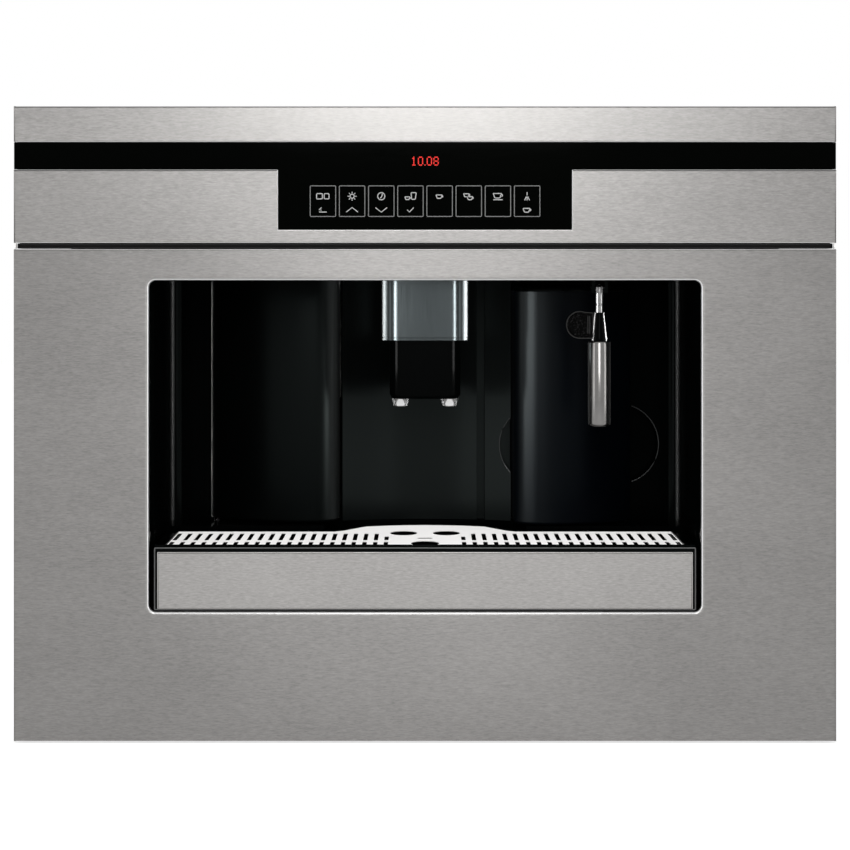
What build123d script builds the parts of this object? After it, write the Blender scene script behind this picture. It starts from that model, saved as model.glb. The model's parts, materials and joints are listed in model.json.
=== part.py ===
from build123d import *
import math
import os

# Built-in coffee machine for a 600 mm wide kitchen column.
# Millimetres. +Z up, the front faces -Y. Origin: middle of the footprint, on the cabinet floor.
# "Depth" is the distance behind the stainless front face, so y = depth - TOTAL_DEPTH / 2.

# ---------------------------------------------------------------- driving dimensions
TOTAL_DEPTH = 402.0
FRONT_WIDTH = 594.0
FRONT_BOTTOM_Z = 2.0
FRONT_TOP_Z = 460.7
FRONT_THICK = 22.0          # stainless front and its carrier, in front of the cabinet's edge
SHEET = 1.2                 # casing sheet
SKIN = 1.5                  # stainless skin of the front
WALL = 2.5                  # moulded plastic wall
GAP = 0.3                   # clearance between neighbours

OPENING_HALF_WIDTH = 199.4  # opening in the front panel
OPENING_BOTTOM_Z = 95.5
OPENING_TOP_Z = 334.7
OPENING_CORNER_R = 5.0
LIP = 2.2                   # rounded bright edge round the opening

LOWER_PANEL_TOP_Z = 357.5
FASCIA_BOTTOM_Z = 361.8
FASCIA_TOP_Z = 414.9
TRIM_BOTTOM_Z = 434.7
NOTCH_HALF_WIDTH = 106.1    # the glass comes down through this notch in the lower fascia
NOTCH_BOTTOM_Z = 371.5
GLASS_HALF_WIDTH = 296.8
GLASS_THICK = 3.0

BODY_HALF_WIDTH = 259.2     # outside of the side panels
BODY_BOTTOM_Z = 10.0
BODY_TOP_Z = 448.0

CAVITY_HALF_WIDTH = 198.4
CAVITY_FLOOR_Z = 146.0
CAVITY_CEILING_Z = 345.0
CAVITY_BACK_DEPTH = 137.0

TRAY_HALF_WIDTH = 196.0
TRAY_BOTTOM_Z = 96.2
TRAY_TOP_Z = 143.1
TRAY_FRAME_TOP_Z = 141.9    # frame round the stainless plate, a little lower than the pan's rim
TRAY_FRONT_DEPTH = 6.0
TRAY_SIDE_DEPTH = 92.0      # rear edge beside the lobe
TRAY_LOBE_HALF_WIDTH = 75.5
TRAY_LOBE_DEPTH = 132.0
GRID_HALF_WIDTH = 188.0
GRID_TOP_Z = 142.5
GRID_THICK = 1.0
SLOT_PITCH = 7.845
SLOT_WIDTH = 2.8
FIRST_SLOT_X = 28.6
SLOTS_PER_SIDE = 21

DOOR_LEFT_X = -167.0
DOOR_RIGHT_X = -67.0
DOOR_BOTTOM_Z = 149.0
DOOR_TOP_Z = 343.0
DOOR_HINGE_X = -163.0
DOOR_HINGE_DEPTH = 131.0
BULGE_FRONT_DEPTH = 93.0
BULGE_CORNER_R = 18.0

TANK_LEFT_X = 68.7
TANK_RIGHT_X = 160.0
TANK_BOTTOM_Z = 147.0
TANK_TOP_Z = 330.0
TANK_REAR_DEPTH = 235.0

SPOUT_HALF_WIDTH = 32.0     # stainless shroud
SPOUT_FRONT_DEPTH = 45.0
SHROUD_BOTTOM_Z = 289.7
SHROUD_TOP_Z = 352.0
SPOUT_BODY_HALF_WIDTH = 26.0
SPOUT_BODY_BOTTOM_Z = 246.0
SPOUT_BODY_FRONT_DEPTH = 52.0
SPOUT_BODY_BACK_DEPTH = 86.0
NOZZLE_X = 18.5
NOZZLE_DEPTH = 72.0
NOZZLE_TIP_Z = 239.4
NOZZLE_NECK_R = 4.5
NOZZLE_TIP_R, NOZZLE_TOP_R = 5.4, 7.2   # outlet bowl, at its lip and where it meets the body
NOZZLE_BORE_R = 2.6

WAND_X = 129.0
WAND_DEPTH = 38.0
WAND_PIVOT_Z = 329.3
WAND_TUBE_R = 2.75
HOLDER_TOP_Z = 310.6
HOLDER_BOTTOM_Z = 289.9
SLEEVE_BOTTOM_Z = 226.2
SLEEVE_R = 8.4
HOLDER_TOP_R, HOLDER_BOTTOM_R = 3.7, 5.9
TAB_OFFSET = 14.5           # round-ended tab, left of the wand's axis
TAB_Z, TAB_R = 301.8, 10.2

PIN_CLEARANCE = 0.05        # radial running clearance

RAIL_FRONT_DEPTH = 30.0
RAIL_REAR_DEPTH = 392.0
RAIL_BOTTOM_Z = 20.0
RAIL_TOP_Z = 60.0
NICHE_HALF_WIDTH = 280.0
RAIL_SCREW_DEPTHS = (60.0, 360.0)
RAIL_SCREW_Z = 12.0
RAIL_SCREW_HOLE_R = 2.25

CASE_REAR_DEPTH = TOTAL_DEPTH - SHEET
CASE_SCREW_XS = (-245.0, -120.0, 0.0, 120.0, 245.0)
CASE_SCREW_ZS = (18.0, 440.0)
CASE_SCREW_R = 1.6
SWITCH_X, SWITCH_Z = -215.0, 92.0
INLET_X, INLET_Z = -215.0, 52.0
ROCKER_TILT = 8.0           # degrees, with the rocker's lower end pressed in

KEY_COUNT = 8               # a sensor pad behind each touch key
KEY_PITCH = 21.06
FIRST_KEY_X = -73.7
KEY_CENTRE_Z = 392.0

CEILING_CUT_HALF = SPOUT_HALF_WIDTH + 3.5
CENTRE_X0, CENTRE_X1 = -64.5, 67.0      # concave wall between the door and the tank
CENTRE_FRONT_DEPTH = 125.0
CENTRE_THICK = 5.0
GROOVE_X0, GROOVE_X1 = 40.6, 46.9
GROOVE_DEPTH = 138.5
RECESS_X0, RECESS_X1 = 58.3, 184.0      # round-ended finger recess behind the tank
RECESS_Z, RECESS_R = 205.6, 31.5
RECESS_DEEP = 12.0
LAMP_XS = (-78.0, 78.0)     # two lamps in the ceiling
LAMP_DEPTH = 60.0
LAMP_R = 8.0
FLOAT_X, FLOAT_DEPTH, FLOAT_R = 0.0, 108.0, 5.0
PIN_R = 2.0                 # door pins
DOOR_REAR_GAP = 2.0         # lets the hinged edge turn clear of the cavity's back
DOCK_X, DOCK_DEPTH = 114.0, 200.0       # water outlet of the tank
LEVEL_X, LEVEL_DEPTH = 82.0, 222.0      # level float
POUR_DEPTH, POUR_R = 122.0, 13.0        # filling hole in the tank's lid

BREW_X = -118.0             # axis of the brewing chamber
BREW_DEPTH = 215.0
CHAMBER_R, CHAMBER_BORE_R = 25.0, 21.0
CHAMBER_Z0, CHAMBER_Z1 = 236.0, 272.0
PISTON_Z0, PISTON_Z1 = 292.0, 306.0
SCREW_DEPTH = 262.0         # axis of its lead screw
SCREW_R = 4.0
SCREW_Z0, SCREW_Z1 = 238.0, 345.9
FUNNEL_DEPTH = 172.0        # funnel for ready-ground coffee
FUNNEL_HALF = 24.0

GRINDER_X = 10.0
GRINDER_DEPTH = 270.0
RING_TEETH = 48
PINION_TEETH = 12
GEAR_MODULE = 1.5
RING_Z0, RING_Z1 = 338.0, 346.0
KNOB_X = GRINDER_X - GEAR_MODULE * (RING_TEETH + PINION_TEETH) / 2
HOPPER_X0, HOPPER_X1 = -18.0, 150.0
HOPPER_D0, HOPPER_D1 = 195.0, 345.0
HOPPER_SEAM_Z = 410.0
HOPPER_WALL = 2.2

HOSE_R = 3.0
COFFEE_HOSE_X = -82.0
COFFEE_BOILER = (112.0, 306.0)          # x and depth of each boiler's axis
STEAM_BOILER = (206.0, 306.0)
BOILER_Z0, BOILER_Z1 = 150.0, 258.0
PUMP_DEPTH, PUMP_Z = 190.0, 62.0
METER_X = 40.0


# ---------------------------------------------------------------- helpers
def y_at(depth):
    return depth - TOTAL_DEPTH / 2


def block(x0, x1, d0, d1, z0, z1):
    """A box between two x, two depths and two heights."""
    middle = ((x0 + x1) / 2, y_at((d0 + d1) / 2), (z0 + z1) / 2)
    return Pos(*middle) * Box(x1 - x0, d1 - d0, z1 - z0)


def soft_block(x0, x1, d0, d1, z0, z1, radius):
    """A box whose upright edges are rounded."""
    solid = block(x0, x1, d0, d1, z0, z1)
    return fillet(solid.edges().filter_by(Axis.Z), radius)


def rod(x, depth, z0, z1, radius):
    """An upright cylinder."""
    return Pos(x, y_at(depth), (z0 + z1) / 2) * Cylinder(radius, z1 - z0)


def rod_x(x0, x1, depth, z, radius):
    """A cylinder along X."""
    return Pos((x0 + x1) / 2, y_at(depth), z) * Rot(0, 90, 0) * Cylinder(radius, x1 - x0)


def rod_y(x, d0, d1, z, radius):
    """A cylinder along Y."""
    return Pos(x, y_at((d0 + d1) / 2), z) * Rot(90, 0, 0) * Cylinder(radius, d1 - d0)


def cone(x, depth, z0, z1, r0, r1):
    """An upright cone, r0 at z0 and r1 at z1."""
    return Pos(x, y_at(depth), (z0 + z1) / 2) * Cone(r0, r1, z1 - z0)


def front_plate(outline, d0, d1):
    """A flat outline drawn as seen from the front (x, z), given a thickness in depth."""
    face = Plane.XZ * outline
    return Pos(0, y_at(d1), 0) * extrude(face, d1 - d0)


def front_rectangle(x0, x1, z0, z1, radius=0.0):
    """A rectangle in front view, with its corners rounded where a radius is given."""
    if radius > 0:
        return Pos((x0 + x1) / 2, (z0 + z1) / 2) * RectangleRounded(x1 - x0, z1 - z0, radius)
    return Pos((x0 + x1) / 2, (z0 + z1) / 2) * Rectangle(x1 - x0, z1 - z0)


def upright(face, z0, z1):
    """A plan face raised from z0 to z1."""
    return Pos(0, 0, z0) * extrude(face, z1 - z0, dir=(0, 0, 1))


def save(node, shape):
    """Write one node. Several separate solids are kept as one compound."""
    solids = shape.solids()
    whole = solids[0] if len(solids) == 1 else Compound(children=list(solids))
    export_step(whole, os.path.join("parts", node + ".step"))


def mirrored(shape):
    return mirror(shape, about=Plane.YZ)


# ---------------------------------------------------------------- runners under the machine
def cabinet_rail():
    """Right-hand rail that stays in the cabinet: an angle with a foot, and a C channel."""
    outer = NICHE_HALF_WIDTH
    foot = block(outer - 34, outer, RAIL_FRONT_DEPTH, RAIL_REAR_DEPTH, 0, SKIN)
    web = block(outer - SKIN, outer, RAIL_FRONT_DEPTH, RAIL_REAR_DEPTH, 0, RAIL_TOP_Z)
    lower = block(outer - 14, outer, RAIL_FRONT_DEPTH, RAIL_REAR_DEPTH, RAIL_BOTTOM_Z, RAIL_BOTTOM_Z + SKIN)
    upper = block(outer - 14, outer, RAIL_FRONT_DEPTH, RAIL_REAR_DEPTH, RAIL_TOP_Z - SKIN, RAIL_TOP_Z)
    rail = foot + web + lower + upper
    for depth in RAIL_SCREW_DEPTHS:
        rail -= rod_x(outer - 3, outer + 1, depth, RAIL_SCREW_Z, RAIL_SCREW_HOLE_R)
    return rail


def middle_rail():
    """Right-hand middle rail, a C channel that runs inside the cabinet rail."""
    outer = NICHE_HALF_WIDTH - SKIN - 0.5
    z0 = RAIL_BOTTOM_Z + SKIN + 0.6
    z1 = RAIL_TOP_Z - SKIN - 0.6
    channel = block(outer - 11.5, outer, RAIL_FRONT_DEPTH, RAIL_REAR_DEPTH - 20, z0, z1)
    return channel - block(outer - 12, outer - SKIN, 0, TOTAL_DEPTH, z0 + SKIN, z1 - SKIN)


def inner_rail():
    """Right-hand inner rail, screwed to the machine's side."""
    z0 = RAIL_BOTTOM_Z + 2 * SKIN + 1.2
    z1 = RAIL_TOP_Z - 2 * SKIN - 1.2
    side = BODY_HALF_WIDTH
    channel = block(side, side + 15, RAIL_FRONT_DEPTH, RAIL_REAR_DEPTH - 20, z0, z1)
    return channel - block(side + SKIN, side + 16, 0, TOTAL_DEPTH, z0 + SKIN, z1 - SKIN)


def make_runners():
    for name, shape in (
        ("cabinet_rails", cabinet_rail()),
        ("middle_rails", middle_rail()),
        ("inner_rails", inner_rail()),
    ):
        save(name, shape + mirrored(shape))


# ---------------------------------------------------------------- casing
def base_chassis():
    half = BODY_HALF_WIDTH - SHEET - 0.2
    floor = block(-half, half, FRONT_THICK + 0.2, CASE_REAR_DEPTH - 0.2, BODY_BOTTOM_Z, BODY_BOTTOM_Z + SKIN)
    right = block(half - SKIN, half, FRONT_THICK + 0.2, CASE_REAR_DEPTH - 0.2, BODY_BOTTOM_Z, 24)
    front = block(-half, half, FRONT_THICK + 0.2, FRONT_THICK + 0.2 + SKIN, BODY_BOTTOM_Z, 90)
    return floor + right + mirrored(right) + front


def side_panel():
    """Right-hand side panel with a row of vents high at the rear."""
    half = BODY_HALF_WIDTH
    panel = block(half - SHEET, half, FRONT_THICK + 0.2, CASE_REAR_DEPTH - 0.2, BODY_BOTTOM_Z, BODY_TOP_Z - SKIN - 0.1)
    for index in range(8):
        depth = 280 + index * 12
        panel -= block(half - 3, half + 1, depth, depth + 5, 360, 420)
    return panel


def rear_panel():
    half = BODY_HALF_WIDTH
    panel = block(-half, half, CASE_REAR_DEPTH, TOTAL_DEPTH, BODY_BOTTOM_Z, BODY_TOP_Z)
    for row in range(6):
        z = 330 + row * 14
        panel -= block(-120, 120, TOTAL_DEPTH - 3, TOTAL_DEPTH + 1, z, z + 5)
        panel += block(-2.5, 2.5, CASE_REAR_DEPTH, TOTAL_DEPTH, z, z + 5)
    for x in CASE_SCREW_XS:
        for z in CASE_SCREW_ZS:
            panel -= rod_y(x, TOTAL_DEPTH - 3, TOTAL_DEPTH + 1, z, CASE_SCREW_R)
    panel -= block(INLET_X - 14, INLET_X + 14, TOTAL_DEPTH - 3, TOTAL_DEPTH + 1, INLET_Z - 10, INLET_Z + 10)
    panel -= block(SWITCH_X - 11, SWITCH_X + 11, TOTAL_DEPTH - 3, TOTAL_DEPTH + 1, SWITCH_Z - 14, SWITCH_Z + 14)
    return panel


def top_cover():
    half = BODY_HALF_WIDTH
    cover = block(-half, half, FRONT_THICK + 0.2, CASE_REAR_DEPTH - 0.2, BODY_TOP_Z - SKIN, BODY_TOP_Z)
    cover -= block(HOPPER_X0, HOPPER_X1, HOPPER_D0, HOPPER_D1, 440, 450)
    cover -= block(BREW_X - FUNNEL_HALF, BREW_X + FUNNEL_HALF, FUNNEL_DEPTH - FUNNEL_HALF,
                   FUNNEL_DEPTH + FUNNEL_HALF, 440, 450)
    return cover - rod(KNOB_X, GRINDER_DEPTH, 440, 450, 5.2)


def make_casing():
    side = side_panel()
    save("base_chassis", base_chassis() + boiler_bracket())
    save("side_panels", side + mirrored(side))
    save("rear_panel", rear_panel())
    save("top_cover", top_cover() + lid_hinges())
    save("fasteners", case_screws() + door_pins() + wand_pin())


# ---------------------------------------------------------------- stainless front
def pan(outline, inner, depth):
    """A folded sheet: a skin of thickness SKIN with its rim turned back to the given depth."""
    return front_plate(outline, 0, depth) - front_plate(inner, SKIN, depth + 1)


def front_panel():
    half = FRONT_WIDTH / 2
    outline = front_rectangle(-half, half, FRONT_BOTTOM_Z, LOWER_PANEL_TOP_Z)
    inner = front_rectangle(-half + SKIN, half - SKIN, FRONT_BOTTOM_Z + SKIN, LOWER_PANEL_TOP_Z - SKIN)
    opening = front_rectangle(-OPENING_HALF_WIDTH, OPENING_HALF_WIDTH, OPENING_BOTTOM_Z, OPENING_TOP_Z,
                              OPENING_CORNER_R)
    lip = front_rectangle(-OPENING_HALF_WIDTH - LIP, OPENING_HALF_WIDTH + LIP, OPENING_BOTTOM_Z - LIP,
                          OPENING_TOP_Z + LIP, OPENING_CORNER_R + LIP)
    panel = pan(outline, inner, 20) + front_plate(lip, 0, 14)
    panel -= front_plate(opening, -1, 21)
    edges = panel.faces().sort_by(Axis.Y)[0].inner_wires()[0].edges()
    return fillet(edges, LIP * 0.8)


def front_frame():
    """Moulded carrier behind the front panel: four bars, with bosses that hold the sheet."""
    half = FRONT_WIDTH / 2 - SKIN - 0.5
    low, high = FRONT_BOTTOM_Z + SKIN + 0.5, LOWER_PANEL_TOP_Z - SKIN - 0.5
    side = OPENING_HALF_WIDTH + LIP + 0.3
    upright_bar = block(side, half, 14.2, FRONT_THICK, low, high)
    for z in (60.0, 180.0, 300.0):
        upright_bar += rod_y(250, SKIN, 15, z, 6)
    under = block(-side, side, 14.2, FRONT_THICK, low, OPENING_BOTTOM_Z - LIP - 0.3)
    over = block(-side, side, 14.2, FRONT_THICK, OPENING_TOP_Z + LIP + 0.3, high)
    return Compound(children=[upright_bar, mirrored(upright_bar), under, over])


def lower_fascia():
    half = FRONT_WIDTH / 2
    outline = front_rectangle(-half, half, FASCIA_BOTTOM_Z, FASCIA_TOP_Z)
    inner = front_rectangle(-half + SKIN, half - SKIN, FASCIA_BOTTOM_Z + SKIN, FASCIA_TOP_Z + 1)
    notch = front_rectangle(-NOTCH_HALF_WIDTH, NOTCH_HALF_WIDTH, NOTCH_BOTTOM_Z, FASCIA_TOP_Z + 1)
    return pan(outline, inner, 12) - front_plate(notch, -1, 13)


def upper_trim():
    """Top strip, open below where it stands on the glass band."""
    half = FRONT_WIDTH / 2
    outline = front_rectangle(-half, half, TRIM_BOTTOM_Z, FRONT_TOP_Z)
    inner = front_rectangle(-half + SKIN, half - SKIN, TRIM_BOTTOM_Z - 1, FRONT_TOP_Z - SKIN)
    return pan(outline, inner, 20)


def display_glass():
    """T-shaped smoked glass: the band and the key field that hangs from its middle."""
    band = front_rectangle(-GLASS_HALF_WIDTH, GLASS_HALF_WIDTH, FASCIA_TOP_Z + 0.2, TRIM_BOTTOM_Z - 0.2)
    keys = front_rectangle(-NOTCH_HALF_WIDTH + 0.2, NOTCH_HALF_WIDTH - 0.2, NOTCH_BOTTOM_Z + 0.2,
                           FASCIA_TOP_Z + 1)
    return front_plate(band, 0.4, 0.4 + GLASS_THICK) + front_plate(keys, 0.4, 0.4 + GLASS_THICK)


def control_housing():
    """Moulded box that carries the glass, the boards and both stainless strips."""
    half = FRONT_WIDTH / 2 - SKIN - 0.5
    outer = block(-half, half, 3.6, FRONT_THICK + 16, LOWER_PANEL_TOP_Z + 0.4, BODY_TOP_Z - SKIN - 0.4)
    outer += block(-half, half, 3.6, FRONT_THICK - 2, BODY_TOP_Z - SKIN - 0.4, FRONT_TOP_Z - SKIN - 0.4)
    outer -= block(-half - 1, half + 1, 0, 12.5, FASCIA_BOTTOM_Z - 0.3, FASCIA_BOTTOM_Z + SKIN + 0.3)
    outer -= block(-half - 1, -BODY_HALF_WIDTH + 4, FRONT_THICK, 60, 0, 500)
    outer -= block(BODY_HALF_WIDTH - 4, half + 1, FRONT_THICK, 60, 0, 500)
    return outer - block(-220, 220, 3.0, FRONT_THICK + 14, 367, 432)


def touch_board():
    """Sensor board close behind the glass: the clock's display, and a sensor pad behind each key."""
    board = block(-105, 105, 6.4, 8.0, 373, 430)
    board += block(-20, 20, 3.6, 6.6, 415.5, 429.5)
    for index in range(KEY_COUNT):
        board += rod_y(FIRST_KEY_X + index * KEY_PITCH, 3.8, 6.6, KEY_CENTRE_Z, 6)
    return board


def control_board():
    """Logic board behind the sensor board, with its parts and the plug for the cable loom."""
    board = block(-100, 100, 26, 27.6, 370, 430)
    board += block(-20, 12, 27.4, 31, 385, 410) + block(-80, -45, 27.4, 34, 380, 392)
    return board + block(50, 82, 27.4, 35, 400, 424)


def make_front():
    save("front_panel", front_panel())
    save("front_frame", front_frame())
    save("lower_fascia", lower_fascia())
    save("upper_trim", upper_trim())
    save("display_glass", display_glass())
    save("control_housing", control_housing())
    save("display_boards", touch_board() + control_board())


# ---------------------------------------------------------------- cavity behind the opening
def finger_recess(grow, d0, d1):
    """The long round-ended hollow behind the water tank, where fingers grip it."""
    outline = Pos((RECESS_X0 + RECESS_X1) / 2, RECESS_Z) * SlotOverall(
        RECESS_X1 - RECESS_X0 + 2 * grow, 2 * (RECESS_R + grow))
    return front_plate(outline, d0, d1)


def cavity_liner():
    """Glossy black lining: walls, ceiling, back, and the bay that the drip tray slides in."""
    side = CAVITY_HALF_WIDTH
    lobe = TRAY_LOBE_HALF_WIDTH + 2
    shell = block(-side - WALL, side + WALL, FRONT_THICK + 0.2, CAVITY_BACK_DEPTH + WALL,
                  CAVITY_FLOOR_Z - WALL, CAVITY_CEILING_Z + WALL)
    shell += block(-side - WALL, side + WALL, FRONT_THICK + 2, 94 + WALL, 92, CAVITY_FLOOR_Z)
    shell += block(-lobe - WALL, lobe + WALL, 90, TRAY_LOBE_DEPTH + 2 + WALL, 92, CAVITY_FLOOR_Z)
    shell += finger_recess(WALL, CAVITY_BACK_DEPTH, CAVITY_BACK_DEPTH + RECESS_DEEP + WALL)
    room = block(-side, side, 0, CAVITY_BACK_DEPTH, CAVITY_FLOOR_Z, CAVITY_CEILING_Z)
    room += block(-side, side, 0, 94, 94.5, CAVITY_FLOOR_Z + 1)
    room += block(-lobe, lobe, 90, TRAY_LOBE_DEPTH + 2, 94.5, CAVITY_FLOOR_Z + 1)
    room += finger_recess(0, CAVITY_BACK_DEPTH - 1, CAVITY_BACK_DEPTH + RECESS_DEEP)
    room += block(TANK_LEFT_X - 1.5, TANK_RIGHT_X + 1.5, 130, 160, TANK_BOTTOM_Z - 0.6, TANK_TOP_Z + 2)
    room += block(CENTRE_X0 - 0.3, CENTRE_X1 + 0.3, 130, 160, CAVITY_FLOOR_Z, CAVITY_CEILING_Z)
    room += block(DOOR_LEFT_X + 1, DOOR_RIGHT_X + 1, 130, 160, DOOR_BOTTOM_Z + 1, DOOR_TOP_Z - 1)
    room += block(-CEILING_CUT_HALF, CEILING_CUT_HALF, 42, 112, CAVITY_CEILING_Z - 1, CAVITY_CEILING_Z + 5)
    room += rod(WAND_X, WAND_DEPTH + 6, CAVITY_CEILING_Z - 1, CAVITY_CEILING_Z + 5, 3.5)
    room += rod(DOOR_HINGE_X, DOOR_HINGE_DEPTH, 140, 350, PIN_R)
    for x in LAMP_XS:
        room += rod(x, LAMP_DEPTH, CAVITY_CEILING_Z - 1, CAVITY_CEILING_Z + 5, LAMP_R)
    return shell - room


def cavity_lamps():
    """Two round lamps that drop into the ceiling from above."""
    lamps = None
    for x in LAMP_XS:
        lamp = rod(x, LAMP_DEPTH, CAVITY_CEILING_Z + 0.5, CAVITY_CEILING_Z + 12, LAMP_R - 0.2)
        lamp += rod(x, LAMP_DEPTH, CAVITY_CEILING_Z + WALL, CAVITY_CEILING_Z + 5, LAMP_R + 2)
        lamps = lamp if lamps is None else lamps + lamp
    return lamps


def centre_wall():
    """Concave glossy panel between the door and the tank, with one upright groove."""
    front = y_at(CENTRE_FRONT_DEPTH)
    back = y_at(CAVITY_BACK_DEPTH + CENTRE_THICK)
    middle = ((CENTRE_X0 + CENTRE_X1) / 2, y_at(CAVITY_BACK_DEPTH))
    arc = ThreePointArc((CENTRE_X0, front), middle, (CENTRE_X1, front))
    rim = Polyline((CENTRE_X1, front), (CENTRE_X1, back), (CENTRE_X0, back), (CENTRE_X0, front))
    panel = upright(make_face(arc.edges() + rim.edges()), CAVITY_FLOOR_Z + GAP, CAVITY_CEILING_Z - GAP)
    panel -= finger_recess(0, CENTRE_FRONT_DEPTH - 1, CAVITY_BACK_DEPTH + CENTRE_THICK - WALL)
    return panel - block(GROOVE_X0, GROOVE_X1, CENTRE_FRONT_DEPTH, GROOVE_DEPTH, CAVITY_FLOOR_Z, CAVITY_CEILING_Z)


def make_cavity():
    save("cavity_liner", cavity_liner() + spout_carrier())
    save("centre_wall", centre_wall())
    save("cavity_lamps", cavity_lamps())


# ---------------------------------------------------------------- drip tray
def grid_outline(grow):
    """Plan of the grille: a rectangle with a tapering lobe behind its middle."""
    half = GRID_HALF_WIDTH + grow
    right = [(half, 88 + grow), (69 + grow, 88 + grow), (62 + grow, 94.5 + grow), (46 + grow, 119.5 + grow)]
    left = [(-x, depth) for x, depth in reversed(right)]
    rear_mid = (0, y_at(129 + grow))
    first, last = right[-1], left[0]
    front = Polyline(*[(x, y_at(d)) for x, d in left + [(-half, 9 - grow), (half, 9 - grow)] + right])
    rear = ThreePointArc((first[0], y_at(first[1])), rear_mid, (last[0], y_at(last[1])))
    return make_face(front.edges() + rear.edges())


def drip_tray():
    """Moulded pan with a tall black front, a ledge for the grille and a lobe behind its middle."""
    front = TRAY_FRONT_DEPTH
    body = block(-TRAY_HALF_WIDTH, TRAY_HALF_WIDTH, front, TRAY_SIDE_DEPTH, TRAY_BOTTOM_Z + 0.5, TRAY_TOP_Z)
    body += block(-TRAY_LOBE_HALF_WIDTH, TRAY_LOBE_HALF_WIDTH, 80, TRAY_LOBE_DEPTH, TRAY_BOTTOM_Z + 0.5, TRAY_TOP_Z)
    pocket = block(-TRAY_HALF_WIDTH + WALL, TRAY_HALF_WIDTH - WALL, front + WALL, TRAY_SIDE_DEPTH - WALL,
                   TRAY_BOTTOM_Z + 3, 137)
    pocket += block(-TRAY_LOBE_HALF_WIDTH + WALL, TRAY_LOBE_HALF_WIDTH - WALL, 80, TRAY_LOBE_DEPTH - WALL,
                    TRAY_BOTTOM_Z + 3, 137)
    seat = upright(grid_outline(0.4), GRID_TOP_Z - GRID_THICK - 0.1, TRAY_TOP_Z + 1)
    throat = upright(grid_outline(-2.5), 130, TRAY_TOP_Z + 1)
    body += block(-TRAY_HALF_WIDTH, TRAY_HALF_WIDTH, 2.4, front, TRAY_BOTTOM_Z, TRAY_FRAME_TOP_Z)
    float_guide = rod(FLOAT_X, FLOAT_DEPTH, TRAY_BOTTOM_Z + 2, 128, FLOAT_R + 2.4)
    float_guide -= rod(FLOAT_X, FLOAT_DEPTH, TRAY_BOTTOM_Z + 3, 130, FLOAT_R + 0.4)
    return body - pocket - seat - throat + float_guide


def tray_plate():
    """Stainless plate on the tray's front, with its long edges eased."""
    plate = block(-192.7, 192.7, 0.4, 2.3, 97.6, 139.5)
    return fillet(plate.faces().sort_by(Axis.Y)[0].edges(), 0.6)


def drip_grid():
    """Stainless grille: two rows of slots each side, three round holes and a short slot between."""
    top, low = GRID_TOP_Z, GRID_TOP_Z - GRID_THICK
    grid = upright(grid_outline(0), low, top)
    cuts = Sketch()
    for index in range(SLOTS_PER_SIDE):
        x = FIRST_SLOT_X + index * SLOT_PITCH
        for side in (-1, 1):
            cuts += Pos(side * x, y_at(57)) * Rectangle(SLOT_WIDTH, 40 if index else SLOT_WIDTH)
            cuts += Pos(side * x, y_at(18.5)) * Rectangle(SLOT_WIDTH, 21)
    for x, depth in ((-16.2, 79.5), (16.2, 79.5), (0, 20)):
        cuts += Pos(x, y_at(depth)) * Circle(10.2)
    cuts += Pos(0, y_at(50.5)) * SlotOverall(12, 3)
    return grid - upright(cuts, low - 1, top + 1)


def drip_float():
    """Red float that rises through its guide when the tray is full."""
    return rod(FLOAT_X, FLOAT_DEPTH, TRAY_BOTTOM_Z + 3.05, 124, FLOAT_R)


def make_tray():
    save("drip_tray", drip_tray())
    save("tray_plate", tray_plate())
    save("drip_grid", drip_grid())
    save("drip_float", drip_float())


# ---------------------------------------------------------------- swing-out service door
def bulge_face(grow):
    """Plan of the left-hand bulge: swept flank, rounded inner corner, straight inner side."""
    left, right = DOOR_LEFT_X - grow, DOOR_RIGHT_X + grow
    front = BULGE_FRONT_DEPTH - grow
    rear = CAVITY_BACK_DEPTH - DOOR_REAR_GAP
    radius = BULGE_CORNER_R + grow
    slant = radius * math.sqrt(0.5)
    flank = ThreePointArc((left, y_at(127 - grow)), (-128, y_at(99.5 - grow)), (right - radius, y_at(front)))
    corner = ThreePointArc((right - radius, y_at(front)),
                           (right - radius + slant, y_at(front + radius - slant)),
                           (right, y_at(front + radius)))
    back = Polyline((right, y_at(front + radius)), (right, y_at(rear)), (left, y_at(rear)), (left, y_at(127 - grow)))
    return make_face(flank.edges() + corner.edges() + back.edges())


def service_door():
    """Hollow bulging door, open at the back, hinged on two pins at its left edge."""
    shell = upright(bulge_face(0), DOOR_BOTTOM_Z, DOOR_TOP_Z)
    hollow = upright(bulge_face(-WALL), DOOR_BOTTOM_Z + WALL, DOOR_TOP_Z - WALL)
    opening = block(DOOR_LEFT_X + WALL, DOOR_RIGHT_X - WALL, 128, 140, DOOR_BOTTOM_Z + WALL, DOOR_TOP_Z - WALL)
    shell = shell - hollow - opening
    for z0, z1 in ((DOOR_BOTTOM_Z, DOOR_BOTTOM_Z + 12), (DOOR_TOP_Z - 12, DOOR_TOP_Z)):
        shell += rod(DOOR_HINGE_X, DOOR_HINGE_DEPTH, z0, z1, 4)
    return shell - rod(DOOR_HINGE_X, DOOR_HINGE_DEPTH, DOOR_BOTTOM_Z - 1, DOOR_TOP_Z + 1, PIN_R + PIN_CLEARANCE)


def door_pins():
    """Upper and lower hinge pins, pressed into the lining."""
    lower = rod(DOOR_HINGE_X, DOOR_HINGE_DEPTH, CAVITY_FLOOR_Z - WALL, DOOR_BOTTOM_Z + 10, PIN_R)
    upper = rod(DOOR_HINGE_X, DOOR_HINGE_DEPTH, DOOR_TOP_Z - 10, CAVITY_CEILING_Z + WALL, PIN_R)
    return lower + upper


def make_door():
    save("service_door", service_door())


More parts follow.
